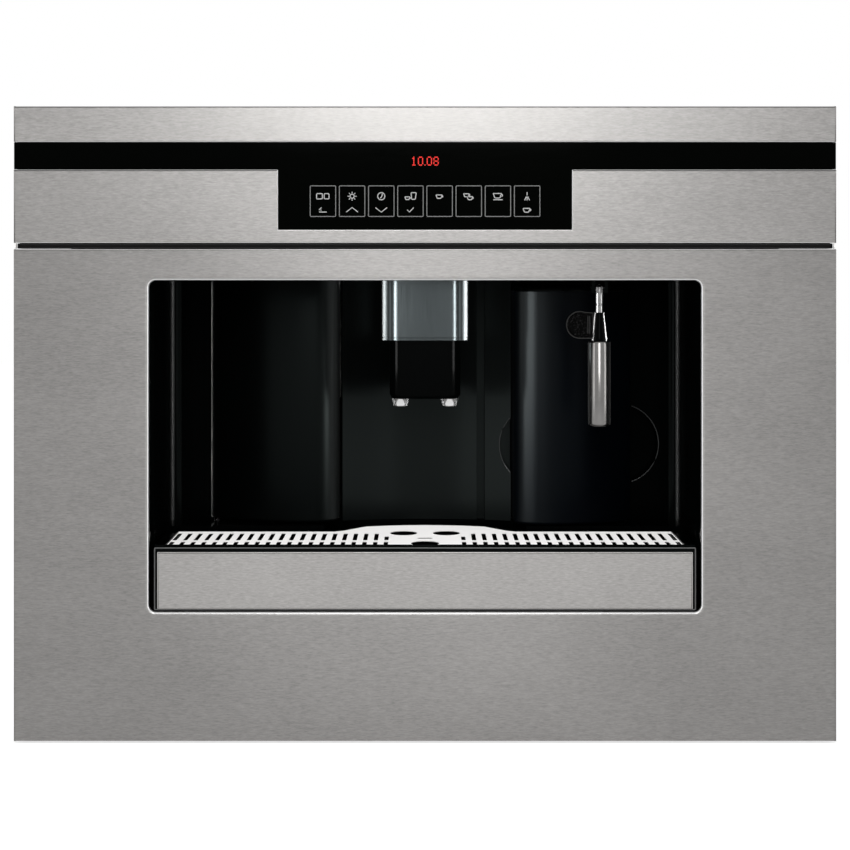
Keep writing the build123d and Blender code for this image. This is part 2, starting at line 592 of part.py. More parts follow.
# ---------------------------------------------------------------- water tank
def tank_face(grow):
    """Plan of the tank: rounded front corner on the left, swept flank on the right."""
    left, right = TANK_LEFT_X - grow, TANK_RIGHT_X + grow
    front = BULGE_FRONT_DEPTH - grow
    rear = TANK_REAR_DEPTH + grow
    radius = BULGE_CORNER_R + grow
    slant = radius * math.sqrt(0.5)
    corner = ThreePointArc((left, y_at(front + radius)),
                           (left + radius - slant, y_at(front + radius - slant)),
                           (left + radius, y_at(front)))
    flank = ThreePointArc((left + radius, y_at(front)), (128, y_at(98.5 - grow)), (right, y_at(120 - grow)))
    back = Polyline((right, y_at(120 - grow)), (right, y_at(rear)), (left, y_at(rear)), (left, y_at(front + radius)))
    return make_face(corner.edges() + flank.edges() + back.edges())


def water_tank():
    """Hollow tank with an outlet in its floor."""
    tank = upright(tank_face(0), TANK_BOTTOM_Z, TANK_TOP_Z - 4)
    tank -= upright(tank_face(-WALL), TANK_BOTTOM_Z + 3, TANK_TOP_Z)
    tank -= rod(DOCK_X, DOCK_DEPTH, TANK_BOTTOM_Z - 1, TANK_BOTTOM_Z + 5, 8)
    guide = block(LEVEL_X - 10, LEVEL_X + 10, LEVEL_DEPTH + 8.4, LEVEL_DEPTH + 10.4, TANK_BOTTOM_Z + 3, 300)
    return tank + guide


def tank_lid():
    """Lid that plugs into the tank's mouth, with a hole to fill it through."""
    lid = upright(tank_face(0), TANK_TOP_Z - 4, TANK_TOP_Z)
    lid += upright(tank_face(-WALL - 0.2), TANK_TOP_Z - 9, TANK_TOP_Z - 4)
    return lid - rod(DOCK_X, POUR_DEPTH, TANK_TOP_Z - 10, TANK_TOP_Z + 1, POUR_R)


def tank_valve():
    """Soft duckbill outlet in the tank's floor."""
    valve = rod(DOCK_X, DOCK_DEPTH, TANK_BOTTOM_Z, TANK_BOTTOM_Z + 3, 8)
    valve += rod(DOCK_X, DOCK_DEPTH, TANK_BOTTOM_Z + 3, TANK_BOTTOM_Z + 6, 10)
    return valve + cone(DOCK_X, DOCK_DEPTH, TANK_BOTTOM_Z + 6, TANK_BOTTOM_Z + 16, 8, 3)


def tank_float():
    """Level float that carries a magnet up and down the tank's rear wall."""
    return block(LEVEL_X - 9, LEVEL_X + 9, LEVEL_DEPTH - 8, LEVEL_DEPTH + 8, TANK_BOTTOM_Z + 3.05, TANK_BOTTOM_Z + 21)


def tank_bay():
    """Moulded sleeve behind the lining that the tank slides in and docks against."""
    x0, x1 = TANK_LEFT_X - 1.5, TANK_RIGHT_X + 1.5
    d0 = CAVITY_BACK_DEPTH + RECESS_DEEP + WALL + 0.2
    bay = block(x0 - WALL, x1 + WALL, d0, TANK_REAR_DEPTH + 4, TANK_BOTTOM_Z - 0.6 - WALL, TANK_TOP_Z + 2 + WALL)
    bay -= block(x0, x1, 100, TANK_REAR_DEPTH + 1.5, TANK_BOTTOM_Z - 0.6, TANK_TOP_Z + 2)
    bay += rod(DOCK_X, DOCK_DEPTH, 126, TANK_BOTTOM_Z - 0.6 - WALL, 6)
    return bay - rod(DOCK_X, DOCK_DEPTH, 120, TANK_BOTTOM_Z + 1, 3.5)


def make_tank():
    save("water_tank", water_tank())
    save("tank_lid", tank_lid())
    save("tank_valve", tank_valve())
    save("tank_float", tank_float())
    save("tank_bay", tank_bay())


# ---------------------------------------------------------------- coffee spout
def shroud_face(half, front, back):
    """D-shaped plan: flat back, rounded shoulders and a flat middle in front."""
    shoulder = half * 0.62
    bend = ((half + shoulder) / 2 + 2.6, y_at(front + 3.4))
    right = ThreePointArc((shoulder, y_at(front)), bend, (half, y_at(front + 13)))
    left = ThreePointArc((-shoulder, y_at(front)), (-bend[0], bend[1]), (-half, y_at(front + 13)))
    rest = Polyline((half, y_at(front + 13)), (half, y_at(back)), (-half, y_at(back)), (-half, y_at(front + 13)))
    middle = Line((-shoulder, y_at(front)), (shoulder, y_at(front)))
    return make_face(left.edges() + middle.edges() + right.edges() + rest.edges())


def spout_shroud():
    """Polished steel sleeve that hangs from the ceiling, open below and behind its rim."""
    outer = upright(shroud_face(SPOUT_HALF_WIDTH, SPOUT_FRONT_DEPTH, 100), SHROUD_BOTTOM_Z, SHROUD_TOP_Z)
    inner = upright(shroud_face(SPOUT_HALF_WIDTH - SKIN, SPOUT_FRONT_DEPTH + SKIN, 100 - SKIN),
                    SHROUD_BOTTOM_Z - 1, CAVITY_CEILING_Z + 13)
    return outer - inner


def spout_carrier():
    """Bridge over the shroud and the column that the spout slides on, moulded with the lining."""
    top = SHROUD_TOP_Z + 0.1
    bridge = block(-CEILING_CUT_HALF - 6, CEILING_CUT_HALF + 6, 40, 116, top, top + 3)
    for d0, d1 in ((40, 43), (113, 116)):
        bridge += block(-CEILING_CUT_HALF - 6, CEILING_CUT_HALF + 6, d0 - 3, d1 + 3, CAVITY_CEILING_Z + 1, top + 1)
    bridge -= block(-CEILING_CUT_HALF, CEILING_CUT_HALF, 42, 112, CAVITY_CEILING_Z, top)
    return bridge + block(-10, 10, 88.5, 96, SHROUD_BOTTOM_Z + 4, top + 1)


def spout_body():
    """Black two-way spout, raised and lowered by hand to suit the cup."""
    plan = shroud_face(SPOUT_BODY_HALF_WIDTH, SPOUT_BODY_FRONT_DEPTH, SPOUT_BODY_BACK_DEPTH)
    body = upright(plan, SPOUT_BODY_BOTTOM_Z, 316)
    body = chamfer(body.faces().sort_by(Axis.Z)[0].edges(), 1.5)
    for x in (-NOZZLE_X, NOZZLE_X):
        body -= rod(x, NOZZLE_DEPTH, SPOUT_BODY_BOTTOM_Z - 1, SPOUT_BODY_BOTTOM_Z + 12, NOZZLE_NECK_R)
    return body


def spout_nozzles():
    """Two short steel outlets with a flared rim."""
    nozzles = None
    for x in (-NOZZLE_X, NOZZLE_X):
        nozzle = rod(x, NOZZLE_DEPTH, NOZZLE_TIP_Z + 2, SPOUT_BODY_BOTTOM_Z + 12, NOZZLE_NECK_R)
        nozzle += cone(x, NOZZLE_DEPTH, NOZZLE_TIP_Z, SPOUT_BODY_BOTTOM_Z, NOZZLE_TIP_R, NOZZLE_TOP_R)
        nozzle -= rod(x, NOZZLE_DEPTH, NOZZLE_TIP_Z - 1, SPOUT_BODY_BOTTOM_Z + 10, NOZZLE_BORE_R)
        nozzles = nozzle if nozzles is None else nozzles + nozzle
    return nozzles


def make_spout():
    save("spout_shroud", spout_shroud())
    save("spout_body", spout_body())
    save("spout_nozzles", spout_nozzles())


# ---------------------------------------------------------------- steam wand
def wand_socket():
    """Fixed black clevis under the ceiling, with a cheek each side of the wand."""
    base = block(WAND_X - 9, WAND_X + 9, 32, 56, CAVITY_CEILING_Z - 7, CAVITY_CEILING_Z - 0.1)
    cheek = block(WAND_X + 3.4, WAND_X + 6, 33, 43, WAND_PIVOT_Z - 4, CAVITY_CEILING_Z - 7)
    other = block(WAND_X - 6, WAND_X - 3.4, 33, 43, WAND_PIVOT_Z - 4, CAVITY_CEILING_Z - 7)
    socket = base + cheek + other
    socket -= rod_x(WAND_X - 7, WAND_X + 7, WAND_DEPTH, WAND_PIVOT_Z, 1.2)
    return socket - rod(WAND_X, WAND_DEPTH + 6, 330, 350, 3.0)


def wand_pin():
    return rod_x(WAND_X - 6, WAND_X + 6, WAND_DEPTH, WAND_PIVOT_Z, 1.2)


def wand_tube():
    """Bright steam tube with a rounded head on the pivot pin."""
    tube = rod(WAND_X, WAND_DEPTH, SLEEVE_BOTTOM_Z + 22, WAND_PIVOT_Z, WAND_TUBE_R)
    tube += Pos(WAND_X, y_at(WAND_DEPTH), WAND_PIVOT_Z) * Sphere(WAND_TUBE_R)
    return tube - rod_x(WAND_X - 7, WAND_X + 7, WAND_DEPTH, WAND_PIVOT_Z, 1.2 + PIN_CLEARANCE)


def wand_holder():
    """Black tapered holder round the tube, with a round-ended ribbed tab to swing the wand by."""
    centre = WAND_X - TAB_OFFSET
    holder = cone(WAND_X, WAND_DEPTH, HOLDER_BOTTOM_Z, HOLDER_TOP_Z, HOLDER_BOTTOM_R, HOLDER_TOP_R)
    tab = rod_y(centre, WAND_DEPTH - 3, WAND_DEPTH + 3, TAB_Z, TAB_R)
    tab += block(centre, WAND_X - HOLDER_TOP_R, WAND_DEPTH - 3, WAND_DEPTH + 3, TAB_Z - TAB_R, HOLDER_TOP_Z)
    holder += tab - rod_y(centre, WAND_DEPTH - 4, WAND_DEPTH - 2, TAB_Z, TAB_R - 2.4)
    return holder - rod(WAND_X, WAND_DEPTH, 280, 320, WAND_TUBE_R)


def frother_sleeve():
    """Stainless sleeve that draws in air round the tube's end, slightly domed below."""
    sleeve = rod(WAND_X, WAND_DEPTH, SLEEVE_BOTTOM_Z, HOLDER_BOTTOM_Z, SLEEVE_R)
    sleeve = fillet(sleeve.edges().group_by(Axis.Z)[0], 1.5)
    sleeve -= rod(WAND_X, WAND_DEPTH, SLEEVE_BOTTOM_Z + 22, HOLDER_BOTTOM_Z + 1, WAND_TUBE_R)
    sleeve -= rod(WAND_X, WAND_DEPTH, SLEEVE_BOTTOM_Z - 1, SLEEVE_BOTTOM_Z + 22, 5)
    return sleeve - rod_y(WAND_X, 0, WAND_DEPTH, 262, 0.8)


def make_wand():
    save("wand_socket", wand_socket())
    save("wand_tube", wand_tube())
    save("wand_holder", wand_holder())
    save("frother_sleeve", frother_sleeve())


# ---------------------------------------------------------------- brewing unit behind the door
def brew_frame():
    """Upright frame: back plate, foot with the chamber's seat, and head with the screw's bearing."""
    x0, x1 = BREW_X - 34, BREW_X + 24
    frame = block(x0, x1, 282, 288, 226, 336)
    frame += block(x0, x1, 180, 288, 226, 232)
    frame += block(x0, x1, 246, 288, 330, 336)
    for x in (x0, x1 - 4):
        frame += block(x, x + 4, 246, 288, 226, 336)
    frame += block(x0 - 5, x0 + 1, 262, 402 - 90, 226, 232)
    frame -= rod(BREW_X, SCREW_DEPTH, 328, 338, SCREW_R + PIN_CLEARANCE)
    frame -= block(x1 - 6, x1 + 1, 259, 281, 293, 317)
    return frame - rod(BREW_X, BREW_DEPTH, 220, 240, 12)


def brew_chamber():
    """Brewing chamber, a cup with a thick wall and a coffee outlet at its side."""
    chamber = rod(BREW_X, BREW_DEPTH, CHAMBER_Z0 - 4, CHAMBER_Z1, CHAMBER_R)
    chamber -= rod(BREW_X, BREW_DEPTH, CHAMBER_Z0 + 4, CHAMBER_Z1 + 1, CHAMBER_BORE_R)
    outlet = rod_x(BREW_X + 20, COFFEE_HOSE_X - HOSE_R - 1.5, BREW_DEPTH, CHAMBER_Z0, 3.2)
    return chamber + outlet


def brew_piston():
    """Piston on an arm, with the nut that the screw drives."""
    piston = rod(BREW_X, BREW_DEPTH, PISTON_Z0, PISTON_Z1, CHAMBER_BORE_R - 0.09)
    piston += block(BREW_X - 9, BREW_X + 9, BREW_DEPTH, SCREW_DEPTH + 9, PISTON_Z1 - 1, PISTON_Z1 + 9)
    piston += rod(BREW_X, SCREW_DEPTH, PISTON_Z1 - 1, PISTON_Z1 + 16, 9)
    return piston - rod(BREW_X, SCREW_DEPTH, 280, 330, SCREW_R + PIN_CLEARANCE)


def lead_screw():
    return rod(BREW_X, SCREW_DEPTH, SCREW_Z0, SCREW_Z1, SCREW_R)


def brew_motor():
    """Gear motor on the frame's head, over the screw's end."""
    motor = rod(BREW_X, SCREW_DEPTH, 346, 352, 22) + rod(BREW_X, SCREW_DEPTH, 352, 392, 15)
    return motor + block(BREW_X - 20, BREW_X + 20, SCREW_DEPTH + 6, 286, 336.1, 346)


def grounds_container():
    """Open bin for the spent coffee, below the brewing unit."""
    x0, x1, d0, d1, z0, z1 = -160, -76, 144, 300, 152, 222
    bin_solid = soft_block(x0, x1, d0, d1, z0, z1, 8)
    return bin_solid - soft_block(x0 + 2, x1 - 2, d0 + 2, d1 - 2, z0 + 2, z1 + 1, 6)


def brew_shelf():
    """Moulded shelf on the base that carries the bin, the frame and the motor's bracket."""
    shelf = block(-166, -70, 142, 330, 147.5, 151.9)
    for x in (-164, -76):
        shelf += block(x, x + 4, 300, 330, BODY_BOTTOM_Z + SKIN, 148)
        shelf += block(x, x + 4, 146, 170, BODY_BOTTOM_Z + SKIN, 148)
    shelf += block(-166, -70, 306, 312, 151, 340)
    return shelf - block(-157, -89, 300, 320, 226, 232.05)


def coffee_chute():
    """Funnel for ready-ground coffee, from the top cover down to the brewing chamber's mouth."""
    half = FUNNEL_HALF - 0.3
    outer = block(BREW_X - half, BREW_X + half, FUNNEL_DEPTH - half, FUNNEL_DEPTH + half, 424, BODY_TOP_Z - 0.2)
    inner = block(BREW_X - half + 2, BREW_X + half - 2, FUNNEL_DEPTH - half + 2, FUNNEL_DEPTH + half - 2, 422, 460)
    lip = Pos(BREW_X, y_at(FUNNEL_DEPTH), 424) * Rectangle(2 * half, 2 * half)
    neck = Pos(BREW_X, y_at(FUNNEL_DEPTH + 2), 396) * Rectangle(26, 22)
    lip_in = Pos(BREW_X, y_at(FUNNEL_DEPTH), 424.5) * Rectangle(2 * half - 4, 2 * half - 4)
    neck_in = Pos(BREW_X, y_at(FUNNEL_DEPTH + 2), 395.5) * Rectangle(22, 18)
    tube = block(BREW_X - 13, BREW_X + 13, FUNNEL_DEPTH - 9, FUNNEL_DEPTH + 13, 312, 396)
    bore = block(BREW_X - 11, BREW_X + 11, FUNNEL_DEPTH - 7, FUNNEL_DEPTH + 11, 300, 396)
    return (outer - inner) + (loft([neck, lip]) - loft([neck_in, lip_in])) + (tube - bore)


def make_brew_unit():
    save("brew_frame", brew_frame())
    save("brew_chamber", brew_chamber())
    save("brew_piston", brew_piston())
    save("lead_screw", lead_screw())
    save("brew_motor", brew_motor())
    save("grounds_container", grounds_container())
    save("brew_shelf", brew_shelf())
    save("coffee_chute", coffee_chute())


# ---------------------------------------------------------------- grinder and bean hopper
def gear_face(teeth, turn, bore):
    """Spur gear outline with straight-flanked teeth, thinned for a running mesh."""
    pitch = GEAR_MODULE * teeth / 2
    root, tip = pitch - 1.25 * GEAR_MODULE, pitch + 0.85 * GEAR_MODULE
    step = 2 * math.pi / teeth
    points = []
    for index in range(teeth):
        centre = turn + index * step
        for radius, share in ((root, -0.36), (tip, -0.11), (tip, 0.11), (root, 0.36)):
            angle = centre + share * step
            points.append((radius * math.cos(angle), radius * math.sin(angle)))
    outline = make_face(Polyline(*points, close=True).edges())
    return outline - Circle(bore)


def grinder_housing():
    """Cup that holds both burrs, with the outlet to the brewing unit and a floor for the motor."""
    housing = rod(GRINDER_X, GRINDER_DEPTH, 284, 337, 40)
    housing -= rod(GRINDER_X, GRINDER_DEPTH, 290, 338, 33)
    housing += block(-94, GRINDER_X - 34, 258, 282, 292, 318)
    housing -= block(-96, GRINDER_X - 30, 260, 280, 294, 316)
    housing -= rod(GRINDER_X, GRINDER_DEPTH, 280, 295, 5 + PIN_CLEARANCE)
    return housing


def grinder_motor():
    motor = rod(GRINDER_X, GRINDER_DEPTH, 196, 283.9, 32)
    motor += rod(GRINDER_X, GRINDER_DEPTH, 186, 196, 12)
    return motor - rod(GRINDER_X, GRINDER_DEPTH, 262, 290, 5 + PIN_CLEARANCE)


def burr(z0, z1, r0, r1, bore):
    """Conical burr with a ring of straight cutting grooves."""
    solid = cone(GRINDER_X, GRINDER_DEPTH, z0, z1, r0, r1)
    cutter = Box(1.6, 60, 3)
    for index in range(12):
        solid -= Pos(GRINDER_X, y_at(GRINDER_DEPTH), z1) * Rot(0, 0, index * 15) * cutter
    return solid - rod(GRINDER_X, GRINDER_DEPTH, z0 - 1, z1 + 1, bore)


def lower_burr():
    """Turning burr on the motor's shaft."""
    shaft = rod(GRINDER_X, GRINDER_DEPTH, 263, 322, 5)
    return burr(300, 322, 31, 16, 4.5) + shaft


def burr_ring():
    """Toothed carrier of the fixed burr: turning it sets how fine the coffee is."""
    ring = Pos(GRINDER_X, y_at(GRINDER_DEPTH), RING_Z0) * extrude(gear_face(RING_TEETH, 0.0, 20), RING_Z1 - RING_Z0)
    lower = rod(GRINDER_X, GRINDER_DEPTH, 324, RING_Z0 + 0.5, 32.9) - rod(GRINDER_X, GRINDER_DEPTH, 320, 340, 20)
    return ring + lower


def grind_knob():
    """Knob on the top cover, its shaft, and the pinion that turns the burr's carrier."""
    turn = math.pi / PINION_TEETH
    knob = Pos(KNOB_X, y_at(GRINDER_DEPTH), RING_Z0 + 0.5) * extrude(
        gear_face(PINION_TEETH, turn, 3), RING_Z1 - RING_Z0 - 1)
    knob += rod(KNOB_X, GRINDER_DEPTH, RING_Z0 + 0.5, BODY_TOP_Z + 2, 5)
    grip = rod(KNOB_X, GRINDER_DEPTH, BODY_TOP_Z + 0.4, BODY_TOP_Z + 10, 13)
    for index in range(12):
        flute = Pos(13.6, 0, 0) * Cylinder(1.8, 30)
        grip -= Pos(KNOB_X, y_at(GRINDER_DEPTH), BODY_TOP_Z + 5) * Rot(0, 0, index * 30) * flute
    return knob + grip


def hopper_solid(grow, z_top):
    """Bean hopper's outer form, or its hollow when grow is negative."""
    x0, x1 = HOPPER_X0 + 0.4 - grow, HOPPER_X1 - 0.4 + grow
    d0, d1 = HOPPER_D0 + 0.4 - grow, HOPPER_D1 - 0.4 + grow
    upper = block(x0, x1, d0, d1, HOPPER_SEAM_Z, z_top)
    mouth = Pos((x0 + x1) / 2, y_at((d0 + d1) / 2), HOPPER_SEAM_Z) * Rectangle(x1 - x0, d1 - d0)
    throat = Pos(GRINDER_X, y_at(GRINDER_DEPTH), 366) * Rectangle(44 + 2 * grow, 44 + 2 * grow)
    return upper + loft([throat, mouth]) + rod(GRINDER_X, GRINDER_DEPTH, 340, 368, 21 + grow)


def bean_hopper():
    """Rectangular tub standing on a funnel, two mouldings that meet at HOPPER_SEAM_Z."""
    half = FRONT_WIDTH / 2
    hopper = hopper_solid(0, BODY_TOP_Z - 0.2) - hopper_solid(-HOPPER_WALL, BODY_TOP_Z + 5)
    tub = hopper & block(-half, half, 0, TOTAL_DEPTH, HOPPER_SEAM_Z, BODY_TOP_Z)
    funnel = hopper & block(-half, half, 0, TOTAL_DEPTH, RING_Z1 + 1, HOPPER_SEAM_Z)
    return Compound(children=[*tub.solids(), *funnel.solids()])


def top_lid(x0, x1, d0, d1, thick):
    """Flat lid with a finger tab, hinged along its rear edge on a round bead."""
    lid = soft_block(x0, x1, d0, d1, BODY_TOP_Z + 0.4, BODY_TOP_Z + 0.4 + thick, 4)
    lid += block((x0 + x1) / 2 - 10, (x0 + x1) / 2 + 10, d0 - 6, d0 + 1, BODY_TOP_Z + 0.4, BODY_TOP_Z + 2.4)
    for x in (x0 + 6, x1 - 13):
        lid -= block(x, x + 7, d1 - 5, d1 + 1, BODY_TOP_Z, BODY_TOP_Z + 10)
    bead = rod_x(x0 + 14, x1 - 14, d1 + 1.5, BODY_TOP_Z + 3.2, 2.5)
    return lid + bead - rod_x(x0 - 5, x1 + 5, d1 + 1.5, BODY_TOP_Z + 3.2, 1.0 + PIN_CLEARANCE)


def lid_hinges():
    """Two ears with a pin for each lid, riveted to the top cover."""
    group = None
    for x0, x1, depth in ((HOPPER_X0 - 2, HOPPER_X1 + 2, HOPPER_D1 + 5.5),
                          (BREW_X - FUNNEL_HALF - 4, BREW_X + FUNNEL_HALF + 4, FUNNEL_DEPTH + FUNNEL_HALF + 5.5)):
        pin = rod_x(x0 + 7, x1 - 7, depth, BODY_TOP_Z + 3.2, 1.0)
        for x in (x0 + 7, x1 - 12):
            pin += block(x, x + 5, depth - 3, depth + 4, BODY_TOP_Z - 0.5, BODY_TOP_Z + 6)
        group = pin if group is None else group + pin
    return group


def make_grinder():
    save("grinder_housing", grinder_housing())
    save("grinder_motor", grinder_motor())
    save("lower_burr", lower_burr())
    save("burr_ring", burr_ring())
    save("grind_knob", grind_knob())
    save("bean_hopper", bean_hopper())
    save("bean_lid", top_lid(HOPPER_X0 - 2, HOPPER_X1 + 2, HOPPER_D0 - 4, HOPPER_D1 + 4, 5))
    save("funnel_lid", top_lid(BREW_X - FUNNEL_HALF - 4, BREW_X + FUNNEL_HALF + 4,
                               FUNNEL_DEPTH - FUNNEL_HALF - 4, FUNNEL_DEPTH + FUNNEL_HALF + 4, 4))


# ---------------------------------------------------------------- water and steam
def boiler(place):
    """Cast aluminium boiler with a flange, a screwed-on head and a leg down to the base."""
    x, depth = place
    solid = rod(x, depth, BOILER_Z0, BOILER_Z1, 38)
    solid += rod(x, depth, BOILER_Z1 - 34, BOILER_Z1 - 26, 43)
    solid += rod(x, depth, BOILER_Z1, BOILER_Z1 + 6, 12)
    solid += rod(x, depth, BOILER_Z0 - 6, BOILER_Z0, 12)
    for angle in range(0, 360, 60):
        shift = Pos(40 * math.cos(math.radians(angle)), 40 * math.sin(math.radians(angle)), 0)
        solid += shift * rod(x, depth, BOILER_Z1 - 26, BOILER_Z1 - 22, 2.4)
    return solid


def boiler_bracket():
    """Bent steel bracket, welded to the base, that carries both boilers."""
    bracket = block(70, 248, 348.2, 350.2, BODY_BOTTOM_Z + 1, 220)
    for x, depth in (COFFEE_BOILER, STEAM_BOILER):
        bracket += block(x - 12, x + 12, depth + 36, 350, 200, 214)
        bracket -= rod(x, depth, 190, 222, 38)
    return bracket


def pump():
    """Vibration pump: brass head, coil box and rubber-mounted end."""
    solid = rod_x(72, 104, PUMP_DEPTH, PUMP_Z, 11)
    solid += block(104, 146, PUMP_DEPTH - 24, PUMP_DEPTH + 24, PUMP_Z - 22, PUMP_Z + 22)
    return solid + rod_x(146, 168, PUMP_DEPTH, PUMP_Z, 12)


def pump_mounts():
    """Two rubber cradles that keep the pump's hum off the casing."""
    group = None
    for x0, radius in ((88, 11), (152, 12)):
        cradle = block(x0, x0 + 12, PUMP_DEPTH - 18, PUMP_DEPTH + 18, BODY_BOTTOM_Z + SKIN, PUMP_Z + 2)
        cradle -= rod_x(x0 - 1, x0 + 13, PUMP_DEPTH, PUMP_Z, radius)
        group = cradle if group is None else group + cradle
    return group


def flow_meter():
    meter = rod_x(METER_X - 12, METER_X + 12, PUMP_DEPTH, PUMP_Z, 16)
    meter += rod_x(METER_X + 12, 71.9, PUMP_DEPTH, PUMP_Z, 4)
    meter += rod(METER_X, PUMP_DEPTH, PUMP_Z + 12, PUMP_Z + 24, 4)
    return meter + block(METER_X - 10, METER_X + 10, PUMP_DEPTH - 10, PUMP_DEPTH + 10, BODY_BOTTOM_Z + SKIN, PUMP_Z)


def solenoid_valve():
    """Drain valve between the boiler and the brewing unit."""
    valve = block(0, 30, 330, 360, BODY_BOTTOM_Z + SKIN, 54)
    valve += rod(15, 345, 54, 92, 11)
    return valve + block(8, 22, 320, 330, 26, 38)


def tube_along(route, radii):
    """A hose: a round section swept along straight runs joined by tangent arcs."""
    points = [(x, y_at(depth), z) for x, depth, z in route]
    path = FilletPolyline(*points, radius=radii)
    start = Plane(origin=path @ 0, z_dir=path % 0)
    hose = sweep(start * Circle(HOSE_R), path=path)
    ideal = math.pi * HOSE_R**2 * path.length
    print("hose", round(path.length, 1), "mm, volume ratio", round(hose.volume / ideal, 3))
    return hose


def hose_suction():
    """From the tank's dock to the flow meter."""
    return tube_along([(DOCK_X, DOCK_DEPTH, 125.9), (DOCK_X, DOCK_DEPTH, 104), (77, 195, 100),
                       (METER_X, PUMP_DEPTH, 104), (METER_X, PUMP_DEPTH, PUMP_Z + 24.1)], 9)


def hose_pressure():
    """From the pump up to the foot of the coffee boiler."""
    x, depth = COFFEE_BOILER
    return tube_along([(168.1, PUMP_DEPTH, PUMP_Z), (196, PUMP_DEPTH, PUMP_Z), (190, 250, 66),
                       (150, depth, 84), (x, depth, 104), (x, depth, BOILER_Z0 - 6.1)], 12)


def hose_coffee():
    """From the brewing chamber up and over to the spout."""
    return tube_along([(COFFEE_HOSE_X - HOSE_R - 1.4, BREW_DEPTH, CHAMBER_Z0), (-70, BREW_DEPTH, CHAMBER_Z0),
                       (-70, BREW_DEPTH, 330), (-66, 160, 385), (0, 120, 385), (0, 72, 385),
                       (0, 72, SHROUD_TOP_Z + 3.2)], 9)


def hose_steam():
    """From the steam boiler up and over to the wand."""
    x, depth = STEAM_BOILER
    return tube_along([(x, depth, BOILER_Z1 + 6.1), (x, depth, 400), (195, 180, 404), (150, 90, 400),
                       (WAND_X, WAND_DEPTH + 6, 390), (WAND_X, WAND_DEPTH + 6, 338.2)], 14)


def make_water_system():
    save("boilers", boiler(COFFEE_BOILER) + boiler(STEAM_BOILER))
    save("pump", pump())
    save("pump_mounts", pump_mounts())
    save("flow_meter", flow_meter())
    save("solenoid_valve", solenoid_valve())
    save("hoses", Compound(children=[hose_suction(), hose_pressure(), hose_coffee(), hose_steam()]))


# ---------------------------------------------------------------- mains parts
def power_board():
    """Upright mains board with its relays, transformer and capacitor, on four stand-offs."""
    board = block(-236, -234.4, 170, 330, 60, 250)
    for depth in (180, 320):
        for z in (70, 240):
            board += rod_x(-BODY_HALF_WIDTH + SHEET, -234, depth, z, 3)
    board += block(-234.5, -205, 190, 225, 80, 120) + block(-234.5, -218, 240, 256, 80, 110)
    return board + block(-234.5, -218, 262, 278, 80, 110) + rod_x(-234.5, -205, 200, 180, 12)


def power_inlet():
    """Inlet socket for the mains lead, with its three contacts and a bridge up to the switch."""
    inlet = block(INLET_X - 13.8, INLET_X + 13.8, TOTAL_DEPTH - 26, TOTAL_DEPTH, INLET_Z - 9.8, INLET_Z + 9.8)
    inlet += block(INLET_X - 8, INLET_X + 8, TOTAL_DEPTH - 20, TOTAL_DEPTH - 12, INLET_Z + 9, SWITCH_Z - 13)
    inlet -= block(INLET_X - 11.8, INLET_X + 11.8, TOTAL_DEPTH - 18, TOTAL_DEPTH + 1, INLET_Z - 7.8, INLET_Z + 7.8)
    for x, z in ((-6.5, -2), (0, 3), (6.5, -2)):
        inlet += block(INLET_X + x - 1, INLET_X + x + 1, TOTAL_DEPTH - 19, TOTAL_DEPTH - 5,
                       INLET_Z + z - 2, INLET_Z + z + 2)
    return inlet


def switch_frame():
    frame = block(SWITCH_X - 10.8, SWITCH_X + 10.8, TOTAL_DEPTH - 20, TOTAL_DEPTH, SWITCH_Z - 13.8, SWITCH_Z + 13.8)
    frame -= block(SWITCH_X - 7, SWITCH_X + 7, TOTAL_DEPTH - 16, TOTAL_DEPTH + 1, SWITCH_Z - 11.4, SWITCH_Z + 11.4)
    pin = rod_x(SWITCH_X - 8, SWITCH_X + 8, TOTAL_DEPTH - 6, SWITCH_Z, 1)
    return frame + pin


def main_switch():
    """Rocker, at rest with its lower end pressed in."""
    rocker = block(SWITCH_X - 6.6, SWITCH_X + 6.6, TOTAL_DEPTH - 8, TOTAL_DEPTH - 2, SWITCH_Z - 10, SWITCH_Z + 10)
    rocker -= rod_x(SWITCH_X - 8, SWITCH_X + 8, TOTAL_DEPTH - 6, SWITCH_Z, 1 + PIN_CLEARANCE)
    return rocker.rotate(Axis((SWITCH_X, y_at(TOTAL_DEPTH - 6), SWITCH_Z), (1, 0, 0)), ROCKER_TILT)


def case_screws():
    """Countersunk screws along the rear panel's upper and lower edges."""
    screws = None
    for x in CASE_SCREW_XS:
        for z in CASE_SCREW_ZS:
            screw = rod_y(x, TOTAL_DEPTH - 6, TOTAL_DEPTH, z, CASE_SCREW_R)
            screws = screw if screws is None else screws + screw
    return screws


def make_mains():
    save("power_board", power_board())
    save("mains_inlet", power_inlet() + switch_frame())
    save("main_switch", main_switch())


# ---------------------------------------------------------------- everything
def main():
    os.makedirs("parts", exist_ok=True)
    make_runners()
    make_casing()
    make_front()
    make_cavity()
    make_tray()
    make_door()
    make_tank()
    make_spout()
    make_wand()
    make_brew_unit()
    make_grinder()
    make_water_system()
    make_mains()


main()
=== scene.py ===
"""Built-in coffee machine: finishes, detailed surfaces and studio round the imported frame."""

